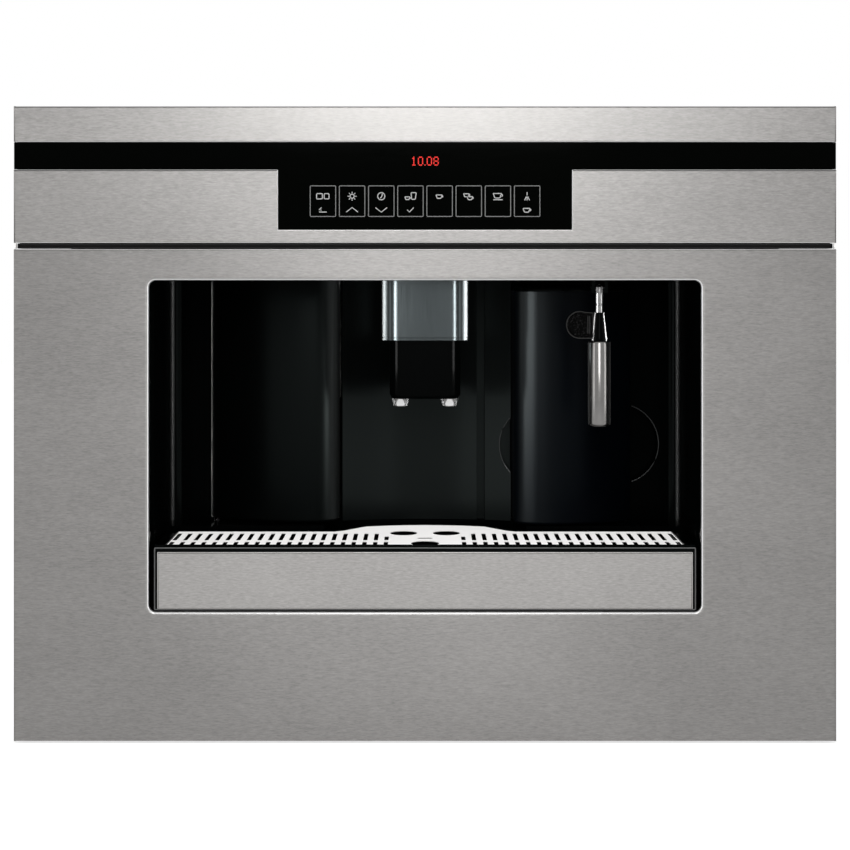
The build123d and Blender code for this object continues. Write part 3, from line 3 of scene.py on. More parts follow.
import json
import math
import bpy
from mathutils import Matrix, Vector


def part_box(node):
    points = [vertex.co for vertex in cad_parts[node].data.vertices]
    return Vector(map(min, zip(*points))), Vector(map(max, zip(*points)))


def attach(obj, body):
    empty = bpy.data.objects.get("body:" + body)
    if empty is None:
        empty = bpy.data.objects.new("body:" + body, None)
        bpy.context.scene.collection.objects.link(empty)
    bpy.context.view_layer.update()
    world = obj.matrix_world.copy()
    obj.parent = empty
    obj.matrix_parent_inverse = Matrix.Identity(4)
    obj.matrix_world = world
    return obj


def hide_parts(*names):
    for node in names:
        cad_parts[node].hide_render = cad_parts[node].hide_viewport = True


bl_info = {
    "name": "Built-in Coffee Machine",
    "version": (1, 0, 0),
    "blender": (4, 5, 0),
    "location": "View3D > Sidebar > Coffee Machine",
    "description": "Finishes and details of a built-in coffee machine, and its studio",
    "category": "Object",
}

import bmesh
import bpy
import numpy as np
from bpy.props import FloatProperty, FloatVectorProperty, IntProperty, PointerProperty
from bpy.types import Operator, Panel, PropertyGroup
from mathutils import Vector
from mathutils.geometry import tessellate_polygon

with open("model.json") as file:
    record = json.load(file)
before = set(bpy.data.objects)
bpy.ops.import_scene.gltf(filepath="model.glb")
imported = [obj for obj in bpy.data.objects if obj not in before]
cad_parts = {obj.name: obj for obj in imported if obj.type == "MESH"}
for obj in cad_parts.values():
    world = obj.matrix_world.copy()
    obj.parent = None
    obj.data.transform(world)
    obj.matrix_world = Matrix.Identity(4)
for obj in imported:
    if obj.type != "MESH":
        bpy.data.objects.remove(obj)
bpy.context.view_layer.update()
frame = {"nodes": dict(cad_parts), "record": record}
NODES = frame["nodes"]
SLOT_OF_NODE = {part["node"]: part["material_slot"] for part in frame["record"]["subparts"]}
MM = 0.001

# Each material slot of the record and the finishes made here for it. Its CAD nodes get the first one.
FINISHES_OF_SLOT = {
    "stainless_front": ("front_steel", "lower_steel_shaded", "strip_steel", "tray_steel"),
    "stainless_plain": ("satin_steel", "grille_steel", "shroud_steel_dark_reflection", "sleeve_steel_shaded"),
    "polished_steel": ("bright_steel", "tube_steel_shaded"),
    "zinc_steel": ("zinc_steel",),
    "case_steel": ("case_sheet",),
    "gloss_black": ("niche_gloss", "cone_gloss", "bulge_gloss", "wall_gloss", "liner_gloss", "spout_gloss",
                    "recess_rim_highlight", "tab_black", "tab_edge_highlight"),
    "matte_black": ("grained_black", "gap_black", "bezel_highlight_grey"),
    "smoked_glass": ("display_glass", "key_print", "key_symbols", "clock_red"),
    "smoked_tank": ("tank_gloss",),
    "clear_hopper": ("hopper_smoke",),
    "grey_plastic": ("grey_moulding",),
    "white_plastic": ("white_moulding",),
    "red_plastic": ("red_moulding",),
    "rubber_black": ("rubber",),
    "silicone": ("silicone",),
    "cast_aluminium": ("cast_aluminium",),
    "brass": ("turned_brass",),
    "circuit_board": ("circuit_board",),
    "lamp_lens": ("lamp_lens",),
}
FINISH_OF_NODE = {"fasteners": "blackened_steel", "centre_wall": "wall_gloss", "cavity_liner": "liner_gloss"}

# The front face is at y = FRONT_Y, and depth runs back from it
FRONT_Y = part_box("front_panel")[0].y


def extent(node):
    """A node's (x0, x1, depth0, depth1, z0, z1), in metres."""
    low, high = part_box(node)
    return low.x, high.x, low.y - FRONT_Y, high.y - FRONT_Y, low.z, high.z


# ---------------- meshes
def plan_plane(u, v, h):
    """Outline drawn in plan (x, depth), raised to height h."""
    return np.stack(np.broadcast_arrays(u, FRONT_Y + v, h), -1)


def front_plane(u, v, h):
    """Outline drawn in front view (x, z), at depth h behind the front face."""
    return np.stack(np.broadcast_arrays(u, FRONT_Y + h, v), -1)


def grid_faces(rows, columns, close_rows=False, close_columns=True):
    """Quads of a grid of rows x columns points, joined across the closed directions."""
    row = np.arange(rows if close_rows else rows - 1)
    column = np.arange(columns if close_columns else columns - 1)
    a, b = np.meshgrid(row, column, indexing="ij")
    a2, b2 = (a + 1) % rows, (b + 1) % columns
    quads = np.stack([a * columns + b, a * columns + b2, a2 * columns + b2, a2 * columns + b], -1)
    return quads.reshape(-1, 4)


def new_piece(name, parts, finish, body="machine", replaced=(), crease=32.0, outward=True, opened=None):
    """One object from several (points, faces) pairs. Closed shells get outward normals, edges
    sharper than the crease angle stay sharp, and faces whose centres are opened are taken out."""
    points, faces, offset = [], [], 0
    for part_points, part_faces in parts:
        flat = np.asarray(part_points, float).reshape(-1, 3)
        points.append(flat)
        faces += [tuple(int(i) + offset for i in face) for face in part_faces]
        offset += len(flat)
    mesh = bpy.data.meshes.new(name)
    mesh.from_pydata(np.concatenate(points).tolist(), [], faces)
    if outward:
        work = bmesh.new()
        work.from_mesh(mesh)
        bmesh.ops.recalc_face_normals(work, faces=work.faces)
        if opened:
            gone = [face for face in work.faces if opened(face.calc_center_median())]
            bmesh.ops.delete(work, geom=gone, context="FACES")
        work.to_mesh(mesh)
        work.free()
    mesh.polygons.foreach_set("use_smooth", np.ones(len(mesh.polygons), bool))
    mesh.set_sharp_from_angle(angle=math.radians(crease))
    mesh.materials.append(bpy.data.materials[finish])
    piece = bpy.data.objects.new(name, mesh)
    bpy.context.scene.collection.objects.link(piece)
    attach(piece, body)
    if replaced:
        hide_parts(*replaced)
    return piece


# ---------------- outlines
LEAST_RADIUS = 0.02 * MM


def rounded(corners, radii, steps=7):
    """Closed outline whose corners are arcs tangent to both sides: each arc's centre lies on the
    corner's bisector at radius / sin(half angle), and points are spread evenly over its turn."""
    p = np.asarray(corners, float)
    r = np.maximum(np.broadcast_to(np.asarray(radii, float), (len(p),)), LEAST_RADIUS)
    u = np.roll(p, 1, 0) - p
    v = np.roll(p, -1, 0) - p
    u /= np.linalg.norm(u, axis=1, keepdims=True)
    v /= np.linalg.norm(v, axis=1, keepdims=True)
    half = 0.5 * np.arccos(np.clip((u * v).sum(1), -1, 1))
    bisector = (u + v) / np.linalg.norm(u + v, axis=1, keepdims=True)
    centre = p + bisector * (r / np.sin(half))[:, None]
    reach = (r / np.tan(half))[:, None]
    a, b = p + u * reach - centre, p + v * reach - centre
    turn = (math.pi - 2 * half)[:, None, None]
    t = np.linspace(0, 1, steps)[None, :, None]
    arc = np.sin((1 - t) * turn) * a[:, None] + np.sin(t * turn) * b[:, None]
    return (centre[:, None] + arc / np.sin(turn)).reshape(-1, 2)


def rectangle(x0, x1, z0, z1, radius=0.0, steps=7):
    return rounded([(x0, z0), (x1, z0), (x1, z1), (x0, z1)], radius, steps)


def circle(x, z, radius, count=48):
    angle = np.arange(count) * 2 * math.pi / count
    return np.stack([x + radius * np.cos(angle), z + radius * np.sin(angle)], -1)


def normals(outline):
    """Normals to the right of a closed outline's direction of travel, stretched at corners so that
    an offset keeps its width. They point outwards on a counter-clockwise outline."""
    ahead = np.roll(outline, -1, 0) - outline
    ahead /= np.linalg.norm(ahead, axis=1, keepdims=True)
    behind = np.roll(ahead, 1, 0)
    tangent = ahead + behind
    tangent /= np.linalg.norm(tangent, axis=1, keepdims=True)
    stretch = 1 / np.clip((tangent * ahead).sum(1), 0.4, 1)
    return np.stack([tangent[:, 1], -tangent[:, 0]], -1) * stretch[:, None]


def edge_profile(radius, h0, h1, both=False, steps=5):
    """(inset, height) steps of a rim: a flat margin, a quarter round of the radius at h0, a straight
    wall to h1, and the same again there when both is set. The margin keeps the cap's shading flat."""
    a = np.linspace(0, math.pi / 2, steps)
    sign = math.copysign(1, h1 - h0)
    inset = np.append(radius * 1.5, radius * (1 - np.sin(a)))
    height = np.append(h0, h0 + sign * radius * (1 - np.cos(a)))
    if not both:
        return np.append(inset, 0.0), np.append(height, h1)
    return np.concatenate([inset, inset[::-1]]), np.concatenate([height, (h0 + h1) - height[::-1]])


def rimmed(outline, profile, plane, holes=()):
    """A closed plate or column. The outline is offset inwards by each profile step's inset and set
    at its height, and each (hole, profile) pair is offset the other way. The walls join these
    loops, and the first and the last loops are filled."""
    rings, faces, first, last, offset = [], [], [], [], 0
    loops = [(outline, profile, -1.0)] + [(hole, steps, 1.0) for hole, steps in holes]
    for loop, (inset, height), sign in loops:
        loop = counterclockwise(np.asarray(loop, float))
        ring = loop[None] + sign * inset[:, None, None] * normals(loop)[None]
        rings.append(plane(ring[..., 0], ring[..., 1], height[:, None]).reshape(-1, 3))
        faces.append(grid_faces(len(inset), len(loop)) + offset)
        first.append(np.arange(len(loop)) + offset)
        last.append(np.arange(len(loop)) + offset + (len(inset) - 1) * len(loop))
        offset += len(rings[-1])
    points = np.concatenate(rings)
    faces = [tuple(face) for face in np.concatenate(faces)]
    for ends in (first, last):
        flat = np.concatenate(ends)
        fill = tessellate_polygon([[Vector(points[i]) for i in end] for end in ends])
        faces += [tuple(flat[list(face)]) for face in fill]
    return points, faces


def turned(profile, plane, centre, count=48):
    """A lathe-turned body: (radius, height) steps carried round the centre, both ends filled."""
    radius, height = np.asarray(profile, float).T
    angle = np.arange(count) * 2 * math.pi / count
    points = plane(centre[0] + radius[:, None] * np.cos(angle), centre[1] + radius[:, None] * np.sin(angle),
                   height[:, None]).reshape(-1, 3)
    faces = [tuple(face) for face in grid_faces(len(radius), count)]
    faces.append(tuple(range(count)))
    faces.append(tuple(range(len(points) - count, len(points))))
    return points, faces


def bar(x0, x1, d0, d1, z0, z1, radius=0.3 * MM):
    """A straight bar with every edge eased, drawn in front view."""
    face = rectangle(x0, x1, z0, z1, radius * 1.5, 4)
    return rimmed(face, edge_profile(radius, d0, d1, both=True, steps=3), front_plane)


def tube(route, radius, count=16):
    """A round tube along points: rings stand square to the mean of the two runs that meet there."""
    p = np.asarray(route, float)
    ahead = np.gradient(p, axis=0)
    ahead /= np.linalg.norm(ahead, axis=1, keepdims=True)
    helper = np.where(np.abs(ahead[:, 2:3]) < 0.9, [[0.0, 0.0, 1.0]], [[1.0, 0.0, 0.0]])
    side = np.cross(ahead, helper)
    side /= np.linalg.norm(side, axis=1, keepdims=True)
    lift = np.cross(side, ahead)
    angle = (np.arange(count) * 2 * math.pi / count)[None, :, None]
    points = p[:, None] + radius * (np.cos(angle) * side[:, None] + np.sin(angle) * lift[:, None])
    faces = [tuple(face) for face in grid_faces(len(p), count)]
    faces += [tuple(range(count)), tuple(range((len(p) - 1) * count, len(p) * count))]
    return points.reshape(-1, 3), faces


def stroke(points, width, depth, closed=False):
    """A printed line: each point is moved half the width to either side of the line."""
    p = np.asarray(points, float)
    ahead = np.gradient(p, axis=0) if not closed else np.roll(p, -1, 0) - np.roll(p, 1, 0)
    ahead /= np.linalg.norm(ahead, axis=1, keepdims=True)
    side = np.stack([ahead[:, 1], -ahead[:, 0]], -1) * width / 2
    both = np.stack([p + side, p - side], 1)
    points3 = front_plane(both[..., 0], both[..., 1], depth)
    return points3, grid_faces(len(p), 2, close_rows=closed, close_columns=False)


def bow(start, middle, end, count=12):
    """Points of the arc from start to end through middle: the circle's centre is where the two
    chords' perpendicular bisectors meet, and the angle runs evenly the way that passes middle."""
    a, b, c = (np.asarray(point, float) for point in (start, middle, end))
    chords = np.stack([b - a, c - b])
    centre = np.linalg.solve(chords, (chords * np.stack([a + b, b + c]) / 2).sum(1))
    turns = np.array([math.atan2(*(point - centre)[::-1]) for point in (a, b, c)])
    full = 2 * math.pi
    sweep = (turns[2] - turns[0]) % full
    if (turns[1] - turns[0]) % full > sweep:
        sweep -= full
    angle = turns[0] + sweep * np.linspace(0, 1, count)
    return centre + np.linalg.norm(a - centre) * np.stack([np.cos(angle), np.sin(angle)], -1)


def path(*stretches):
    """Joins stretches of points into one outline, dropping points that repeat."""
    points = np.concatenate([np.atleast_2d(np.asarray(stretch, float)) for stretch in stretches])
    apart = np.linalg.norm(points - np.roll(points, 1, 0), axis=1) > LEAST_RADIUS / 10
    return points[apart]


def counterclockwise(outline):
    """The outline in the order that the offsets need."""
    x, y = outline.T
    area = (x * np.roll(y, -1) - np.roll(x, -1) * y).sum()
    return outline if area > 0 else outline[::-1]


def arc(x, z, radius, start, end, count=14):
    """Points of an arc in front view, angles in degrees."""
    angle = np.radians(np.linspace(start, end, count))
    return np.stack([x + radius * np.cos(angle), z + radius * np.sin(angle)], -1)


# ---------------- shader expressions
class Value:
    """An output socket whose arithmetic adds Math nodes."""

    def __init__(self, graph, socket):
        self.graph = graph
        self.socket = socket

    def math(self, operation, first, second):
        return self.graph.add("ShaderNodeMath", {"operation": operation}, {0: first, 1: second})

    def __add__(self, other):
        return self.math("ADD", self, other)

    def __radd__(self, other):
        return self.math("ADD", other, self)

    def __sub__(self, other):
        return self.math("SUBTRACT", self, other)

    def __rsub__(self, other):
        return self.math("SUBTRACT", other, self)

    def __mul__(self, other):
        return self.math("MULTIPLY", self, other)

    def __rmul__(self, other):
        return self.math("MULTIPLY", other, self)


# Where the front sheets' rims get their painted highlight: the normal's y, the depth and the distance from
# the middle
HIGHLIGHT_TURN = (-0.97, -0.86)
HIGHLIGHT_DEPTH = (3.6 * MM, 3.0 * MM)
HIGHLIGHT_SIDE = (296.0 * MM, 295.0 * MM)


class Graph:
    """The node tree of a material or a world, filled through one method."""

    def __init__(self, owner, shader="Principled BSDF"):
        owner.use_nodes = True
        self.owner = owner
        self.tree = owner.node_tree
        self.shader = self.tree.nodes[shader]

    def add(self, kind, settings=None, sockets=None, output=0):
        """One node: its settings first, then the values or links of its sockets."""
        node = self.tree.nodes.new(kind)
        for key, value in (settings or {}).items():
            if key == "stops":
                self.set_stops(node.color_ramp, value)
            else:
                setattr(node, key, value)
        for key, value in (sockets or {}).items():
            self.feed(node.inputs[key], value)
        return Value(self, node.outputs[output])

    def feed(self, socket, value):
        if isinstance(value, Value):
            self.tree.links.new(value.socket, socket)
        else:
            socket.default_value = value

    @staticmethod
    def set_stops(ramp, stops):
        while len(ramp.elements) < len(stops):
            ramp.elements.new(1.0)
        for element, (position, shade) in zip(ramp.elements, stops):
            element.position = position
            element.color = (shade, shade, shade, 1)

    def place(self, scale=(1, 1, 1)):
        """Object coordinates, stretched by the scale."""
        where = self.add("ShaderNodeTexCoord", output="Object")
        return self.add("ShaderNodeMapping", None, {"Vector": where, "Scale": scale})

    def noise(self, scale, size=1.0, detail=2.0, roughness=0.5):
        return self.add("ShaderNodeTexNoise", None, {
            "Vector": self.place(scale), "Scale": size, "Detail": detail, "Roughness": roughness})

    def rim(self):
        """1 on the front sheets' rounded edges and 0 on their flat fronts and deep returns: the mask of the
        painted highlight on those edges.
        """
        facing = self.add("ShaderNodeTexCoord", output="Normal")
        place = self.add("ShaderNodeTexCoord", output="Object")
        turned, depth, across = (self.add("ShaderNodeSeparateXYZ", None, {0: vector}, axis)
                                 for vector, axis in ((facing, 1), (place, 1), (place, 0)))
        across = self.add("ShaderNodeMath", {"operation": "ABSOLUTE"}, {0: across})
        deep, shallow = HIGHLIGHT_DEPTH
        return (self.ramp(turned, *HIGHLIGHT_TURN) * self.ramp(depth, FRONT_Y + deep, FRONT_Y + shallow)
                * self.ramp(across, *HIGHLIGHT_SIDE))

    def ramp(self, value, low, high):
        """0 up to low and 1 from high, with a straight rise between."""
        return self.add("ShaderNodeMapRange", None, {0: value, 1: low, 2: high, 3: 0.0, 4: 1.0})

    def tint(self, mask, low, high):
        """The colour between low and high where the mask goes from 0 to 1."""
        return self.add("ShaderNodeMix", {"data_type": "RGBA"}, {
            "Factor": mask, 6: (*low, 1), 7: (*high, 1)}, output=2)

    def bump(self, height, strength, distance):
        return self.add("ShaderNodeBump", None, {
            "Height": height, "Strength": strength, "Distance": distance})

    def surface(self, **sockets):
        """Sets or links the shader's sockets; a name's underscores stand for its blanks."""
        for key, value in sockets.items():
            self.feed(self.shader.inputs[key.replace("_", " ")], value)
        return self.owner


def material_graph(name):
    return Graph(bpy.data.materials.new(name))


def shade(color, factor):
    return tuple(min(1.0, channel * factor) for channel in color)


# ---------------- finishes
def brushed_steel(name, color, roughness=0.34, along=(230, 1400, 1400), contrast=0.26, metallic=1.0,
                  rim=None, stretch=0.0):
    """Stainless sheet with fine lines one way: a noise drawn out along the brushing lightens and
    darkens the metal and roughens it, over a slow cloudiness. Where rim is given, its rounded edges
    get that lighter colour as a painted highlight, and stretch spreads reflections across the brushing."""
    graph = material_graph(name)
    lines = graph.noise(along, detail=3.0, roughness=0.65)
    cloud = graph.noise((9, 14, 14), detail=2.0)
    mask = lines * 0.8 + cloud * 0.2
    sheet = graph.tint(mask, shade(color, 1 - contrast * 2), shade(color, 1 + contrast * 2))
    # rim: the colour of a painted highlight, mixed onto the rounded edges by the rim mask
    if rim:
        sheet = graph.add("ShaderNodeMix", {"data_type": "RGBA"}, {
            "Factor": graph.rim(), 6: sheet, 7: (*rim, 1)}, 2)
    return graph.surface(
        Base_Color=sheet,
        Metallic=metallic,
        Roughness=roughness + (mask - 0.5) * 0.18,
        Anisotropic=stretch,
        Anisotropic_Rotation=0.25,
        Normal=graph.bump(lines, 0.12, 0.00004),
    )


def polished_steel(name, color, roughness=0.10):
    graph = material_graph(name)
    smear = graph.noise((60, 60, 25), detail=3.0)
    return graph.surface(
        Base_Color=graph.tint(smear, shade(color, 0.93), shade(color, 1.05)),
        Metallic=1.0,
        Roughness=roughness + smear * 0.06,
    )


def gloss_plastic(name, color, roughness=0.09, specular=0.25, ripple=0.02, reflection=(1.0, 1.0, 1.0)):
    """Moulded gloss plastic: faint flow marks in the roughness and a very shallow ripple."""
    graph = material_graph(name)
    flow = graph.noise((14, 14, 5), detail=2.0)
    dust = graph.noise((900, 900, 900), detail=1.0)
    return graph.surface(
        Base_Color=graph.tint(flow, shade(color, 0.8), shade(color, 1.2)),
        Roughness=roughness + flow * 0.05 + dust * 0.02,
        Specular_IOR_Level=specular,
        Specular_Tint=(*reflection, 1.0),
        Normal=graph.bump(flow, ripple, 0.002),
    )


def matte_plastic(name, color, roughness=0.55, grain=0.25, scale=1400, specular=0.2):
    """Spark-eroded plastic: a fine even grain."""
    graph = material_graph(name)
    pits = graph.noise((scale, scale, scale), detail=2.0)
    patch = graph.noise((25, 25, 25), detail=2.0)
    return graph.surface(
        Base_Color=graph.tint(patch, shade(color, 0.88), shade(color, 1.12)),
        Roughness=roughness + (pits - 0.5) * 0.2,
        Specular_IOR_Level=specular,
        Normal=graph.bump(pits, grain, 0.0001),
    )


def speckled_black(name, speck):
    """Black moulding with a coarse grain: the grain's highest points catch the light."""
    graph = material_graph(name)
    grain = graph.noise((900, 900, 900), detail=3.0, roughness=0.6)
    peaks = graph.ramp(grain, 0.56, 0.72)
    return graph.surface(
        Base_Color=graph.tint(peaks, (0.0006, 0.0006, 0.0006), (speck, speck, speck)),
        Roughness=0.5 + grain * 0.2,
        Specular_IOR_Level=0.02,
        Normal=graph.bump(grain, 0.4, 0.0002),
    )


def galvanised(name, color):
    """Zinc-coated sheet: crystals a few millimetres wide, each with its own shade and gloss."""
    graph = material_graph(name)
    crystal = graph.add("ShaderNodeTexVoronoi", {"feature": "F1"}, {
        "Vector": graph.place((160, 160, 160)), "Scale": 1.0, "Randomness": 1.0}, output="Color")
    spangle = graph.add("ShaderNodeSeparateColor", None, {"Color": crystal})
    haze = graph.noise((22, 22, 22), detail=4.0)
    mask = spangle * 0.6 + haze * 0.4
    return graph.surface(
        Base_Color=graph.tint(mask, shade(color, 0.82), shade(color, 1.12)),
        Metallic=0.9,
        Roughness=0.36 + spangle * 0.16,
    )


def cast_metal(name, color, roughness=0.42):
    graph = material_graph(name)
    skin = graph.noise((700, 700, 700), detail=3.0)
    stain = graph.noise((30, 30, 30), detail=3.0)
    return graph.surface(
        Base_Color=graph.tint(stain, shade(color, 0.8), shade(color, 1.1)),
        Metallic=0.9,
        Roughness=roughness + stain * 0.12,
        Normal=graph.bump(skin, 0.35, 0.0002),
    )


def circuit_board(name, color):
    """Solder mask with traces: thin lines between cells, lighter than the ground."""
    graph = material_graph(name)
    traces = graph.add("ShaderNodeTexVoronoi", {"feature": "DISTANCE_TO_EDGE", "distance": "EUCLIDEAN"}, {
        "Vector": graph.place((190, 190, 190)), "Scale": 1.0, "Randomness": 0.35})
    line = graph.add("ShaderNodeValToRGB", {"stops": ((0.03, 1.0), (0.07, 0.0))}, {"Fac": traces})
    mask = graph.add("ShaderNodeSeparateColor", None, {"Color": line})
    return graph.surface(
        Base_Color=graph.tint(mask, color, shade(color, 2.2)),
        Roughness=0.35 + mask * 0.15,
        Normal=graph.bump(mask, 0.3, 0.0001),
    )


def smoked_glass(name, color):
    """Nearly black glass: a slow change of depth in its colour and finger-wipe marks in its gloss."""
    graph = material_graph(name)
    depth = graph.noise((6, 6, 30), detail=2.0)
    wipe = graph.noise((40, 90, 300), detail=3.0)
    return graph.surface(
        Base_Color=graph.tint(depth, shade(color, 0.7), shade(color, 1.3)),
        Roughness=0.05 + wipe * 0.05,
        Specular_IOR_Level=0.01,
    )


def printed(name, color, glow=0.0):
    """Ink or lit symbols behind the glass, a little uneven along their strokes."""
    graph = material_graph(name)
    wear = graph.noise((900, 900, 900), detail=1.0)
    return graph.surface(
        Base_Color=graph.tint(wear, shade(color, 0.85), shade(color, 1.05)),
        Roughness=0.5 + wear * 0.1,
        Emission_Color=graph.tint(wear, shade(color, 0.9), shade(color, 1.0)),
        Emission_Strength=glow,
    )


# ---------------- what a user may change
class CoffeeMachineSizes(PropertyGroup):
    """Sizes of the details that the finish adds."""

    sheet_edge: FloatProperty(name="Sheet edge", description="Rounding of the stainless sheets' rims",
                              default=0.7 * MM, subtype="DISTANCE")
    lip: FloatProperty(name="Opening lip", description="Rounding of the bright lip round the niche",
                       default=2.0 * MM, subtype="DISTANCE")
    slot_edge: FloatProperty(name="Slot edge", description="Rounding of the grille's slots",
                             default=0.35 * MM, subtype="DISTANCE")
    mould_edge: FloatProperty(name="Moulded edge", description="Rounding of the moulded parts' rims",
                              default=2.2 * MM, subtype="DISTANCE")
    key_line: FloatProperty(name="Key outline", description="Width of the printed frame round each key",
                            default=0.55 * MM, subtype="DISTANCE")
    symbol_line: FloatProperty(name="Symbol line", description="Width of the printed symbols' strokes",
                               default=0.62 * MM, subtype="DISTANCE")
    digit_height: FloatProperty(name="Clock height", description="Height of the clock's numbers",
                                default=6.6 * MM, subtype="DISTANCE")
    slots_per_side: IntProperty(name="Slots", description="Slots in each row, each side of the middle",
                                default=21, min=1, max=40)


class CoffeeMachineColors(PropertyGroup):
    """Base colours of the finishes that show most."""

    steel: FloatVectorProperty(name="Front steel", description="Brushed stainless front", subtype="COLOR",
                               default=(0.238, 0.232, 0.226), min=0, max=1)
    grille: FloatVectorProperty(name="Grille steel", description="Drip grille and small steel parts",
                                subtype="COLOR", default=(0.62, 0.61, 0.60), min=0, max=1)
    bright: FloatVectorProperty(name="Bright steel", description="Polished steel", subtype="COLOR",
                                default=(0.60, 0.60, 0.60), min=0, max=1)
    niche: FloatVectorProperty(name="Niche black", description="Glossy lining, door and spout",
                               subtype="COLOR", default=(0.0009, 0.0012, 0.0012), min=0, max=1)
    glass: FloatVectorProperty(name="Glass", description="Smoked glass of the display", subtype="COLOR",
                               default=(0.0006, 0.0009, 0.0006), min=0, max=1)
    ink: FloatVectorProperty(name="Key print", description="Grey print on the glass", subtype="COLOR",
                             default=(0.20, 0.20, 0.20), min=0, max=1)
    symbols: FloatVectorProperty(name="Symbols", description="Pale key symbols", subtype="COLOR",
                                 default=(0.55, 0.55, 0.55), min=0, max=1)
    clock: FloatVectorProperty(name="Clock", description="Lit red numbers", subtype="COLOR",
                               default=(0.75, 0.02, 0.012), min=0, max=1)


def sizes():
    return bpy.context.scene.coffee_machine_sizes


# ---------------- front sheets
PANEL, FASCIA, TRIM, GLASS = map(extent, ("front_panel", "lower_fascia", "upper_trim", "display_glass"))
PLATE, TRAY, GRID = map(extent, ("tray_plate", "drip_tray", "drip_grid"))

OPENING = (-199.4 * MM, 199.4 * MM, 95.5 * MM, 334.7 * MM)
OPENING_CORNER = 5.0 * MM
NOTCH = (106.1 * MM, 371.5 * MM)    # half its width, and its bottom edge
SHEET_THICK = 1.5 * MM
STRIP_THICK = 3.3 * MM              # folded thickness of the fascia and the top strip
SHEET_GAP = 0.2 * MM                # between the glass and the strips around it
LIP_DEPTH = 3.2 * MM
LIP_WALL = 2.2 * MM                 # width of the opening's bright lip, seen from the front
COLLAR_BACK = 14 * MM
PLATE_GROWTH = 0.8 * MM             # the plate's sheet is wider than the solid and ends lower
BEZEL_WIDTH = 0.9 * MM
PEG_GAP = 2.6 * MM                  # from the front's side to the end of the dark strip
PEG_REACH = 1.4 * MM
GAP_BACK = 3.5 * MM


def pan_profile(edge, depth):
    """A folded sheet's rim: rounded front edge, wall back to the depth, and inside again."""
    inset, height = edge_profile(edge, 0.0, depth, steps=6)
    return np.append(inset, [SHEET_THICK, SHEET_THICK]), np.append(height, [depth, SHEET_THICK])


def notched_outline(half, bottom, top, notch_half, notch_bottom, corner):
    """A long strip in front view, with a notch cut down from its top edge."""
    corners = [(-half, bottom), (half, bottom), (half, top), (notch_half, top), (notch_half, notch_bottom),
               (-notch_half, notch_bottom), (-notch_half, top), (-half, top)]
    return rounded(corners, corner, 4)


class COFFEE_OT_front_sheets(Operator):
    """Lower front with its rolled opening, notched fascia, top strip, tray plate and bezel"""

    bl_idname = "coffee.front_sheets"
    bl_label = "Stainless Front"

    def execute(self, context):
        edge = sizes().sheet_edge
        x0, x1, _, depth, z0, z1 = PANEL
        lip = pan_profile(sizes().lip, LIP_DEPTH)
        lip[0][-2:] = LIP_WALL
        opening = counterclockwise(rectangle(*OPENING, OPENING_CORNER, 10))
        face = rectangle(x0, x1, z0, z1, 0.8 * MM)
        panel = rimmed(face, pan_profile(edge, depth), front_plane, [(opening, lip)])
        new_piece("front_panel_sheet", [panel], "lower_steel_shaded", replaced=["front_panel"])

        collar = edge_profile(0.3 * MM, LIP_DEPTH + 0.1 * MM, COLLAR_BACK, both=True, steps=3)
        ring = rimmed(opening + LIP_WALL * normals(opening), collar, front_plane, [(opening, collar)])
        new_piece("niche_collar", [ring], "niche_gloss")

        x0, x1, _, depth, z0, z1 = FASCIA
        face = notched_outline(x1, z0, z1, *NOTCH, 0.4 * MM)
        parts = [rimmed(face, pan_profile(edge, STRIP_THICK), front_plane)]
        parts += self.returns(x0, x1, z0, z1, depth, (z0, z0 + SHEET_THICK))
        new_piece("lower_fascia_sheet", parts, "front_steel", replaced=["lower_fascia"])

        x0, x1, _, depth, _, z1 = TRIM
        z0 = GLASS[5] + SHEET_GAP
        parts = [rimmed(rectangle(x0, x1, z0, z1, 0.5 * MM), pan_profile(edge, STRIP_THICK), front_plane)]
        parts += self.returns(x0, x1, z0, z1, depth, (z1 - SHEET_THICK, z1))
        new_piece("upper_trim_sheet", parts, "strip_steel", replaced=["upper_trim"])

        x0, x1, d0, d1, z0, z1 = PLATE
        face = rectangle(x0 - PLATE_GROWTH, x1 + PLATE_GROWTH, z0, z1 - PLATE_GROWTH, 0.6 * MM)
        plate = rimmed(face, edge_profile(0.7 * MM, d0, d1), front_plane)
        new_piece("tray_plate_sheet", [plate], "tray_steel", "drip_tray", ["tray_plate"])
        self.tray_bezel()
        return {"FINISHED"}

    @staticmethod
    def tray_bezel():
        """Raised edge round the front of the black tray, in a lighter grey that is a painted highlight."""
        x, low, high = TRAY[1] - 0.1 * MM, PLATE[4] - 1.2 * MM, PLATE[5] + 2.3 * MM
        outer = rectangle(-x, x, low, high, 1.0 * MM, 5)
        wide = BEZEL_WIDTH
        inner = rectangle(-x + wide, x - wide, low + wide, high - wide, 0.4 * MM, 5)
        rim = edge_profile(0.3 * MM, TRAY[2] - 0.5 * MM, TRAY[2] + 0.1 * MM, steps=3)
        new_piece("tray_bezel", [rimmed(outer, rim, front_plane, [(inner, rim)])], "bezel_highlight_grey", "drip_tray")

    @staticmethod
    def returns(x0, x1, z0, z1, depth, along):
        """Deep flanges behind a strip: one along it at the given heights, and one at either end."""
        spans = [(x0 + SHEET_THICK, x1 - SHEET_THICK, *along)]
        spans += [(a, a + SHEET_THICK, z0, z1) for a in (x0, x1 - SHEET_THICK)]
        return [bar(a, b, STRIP_THICK, depth, low, high) for a, b, low, high in spans]


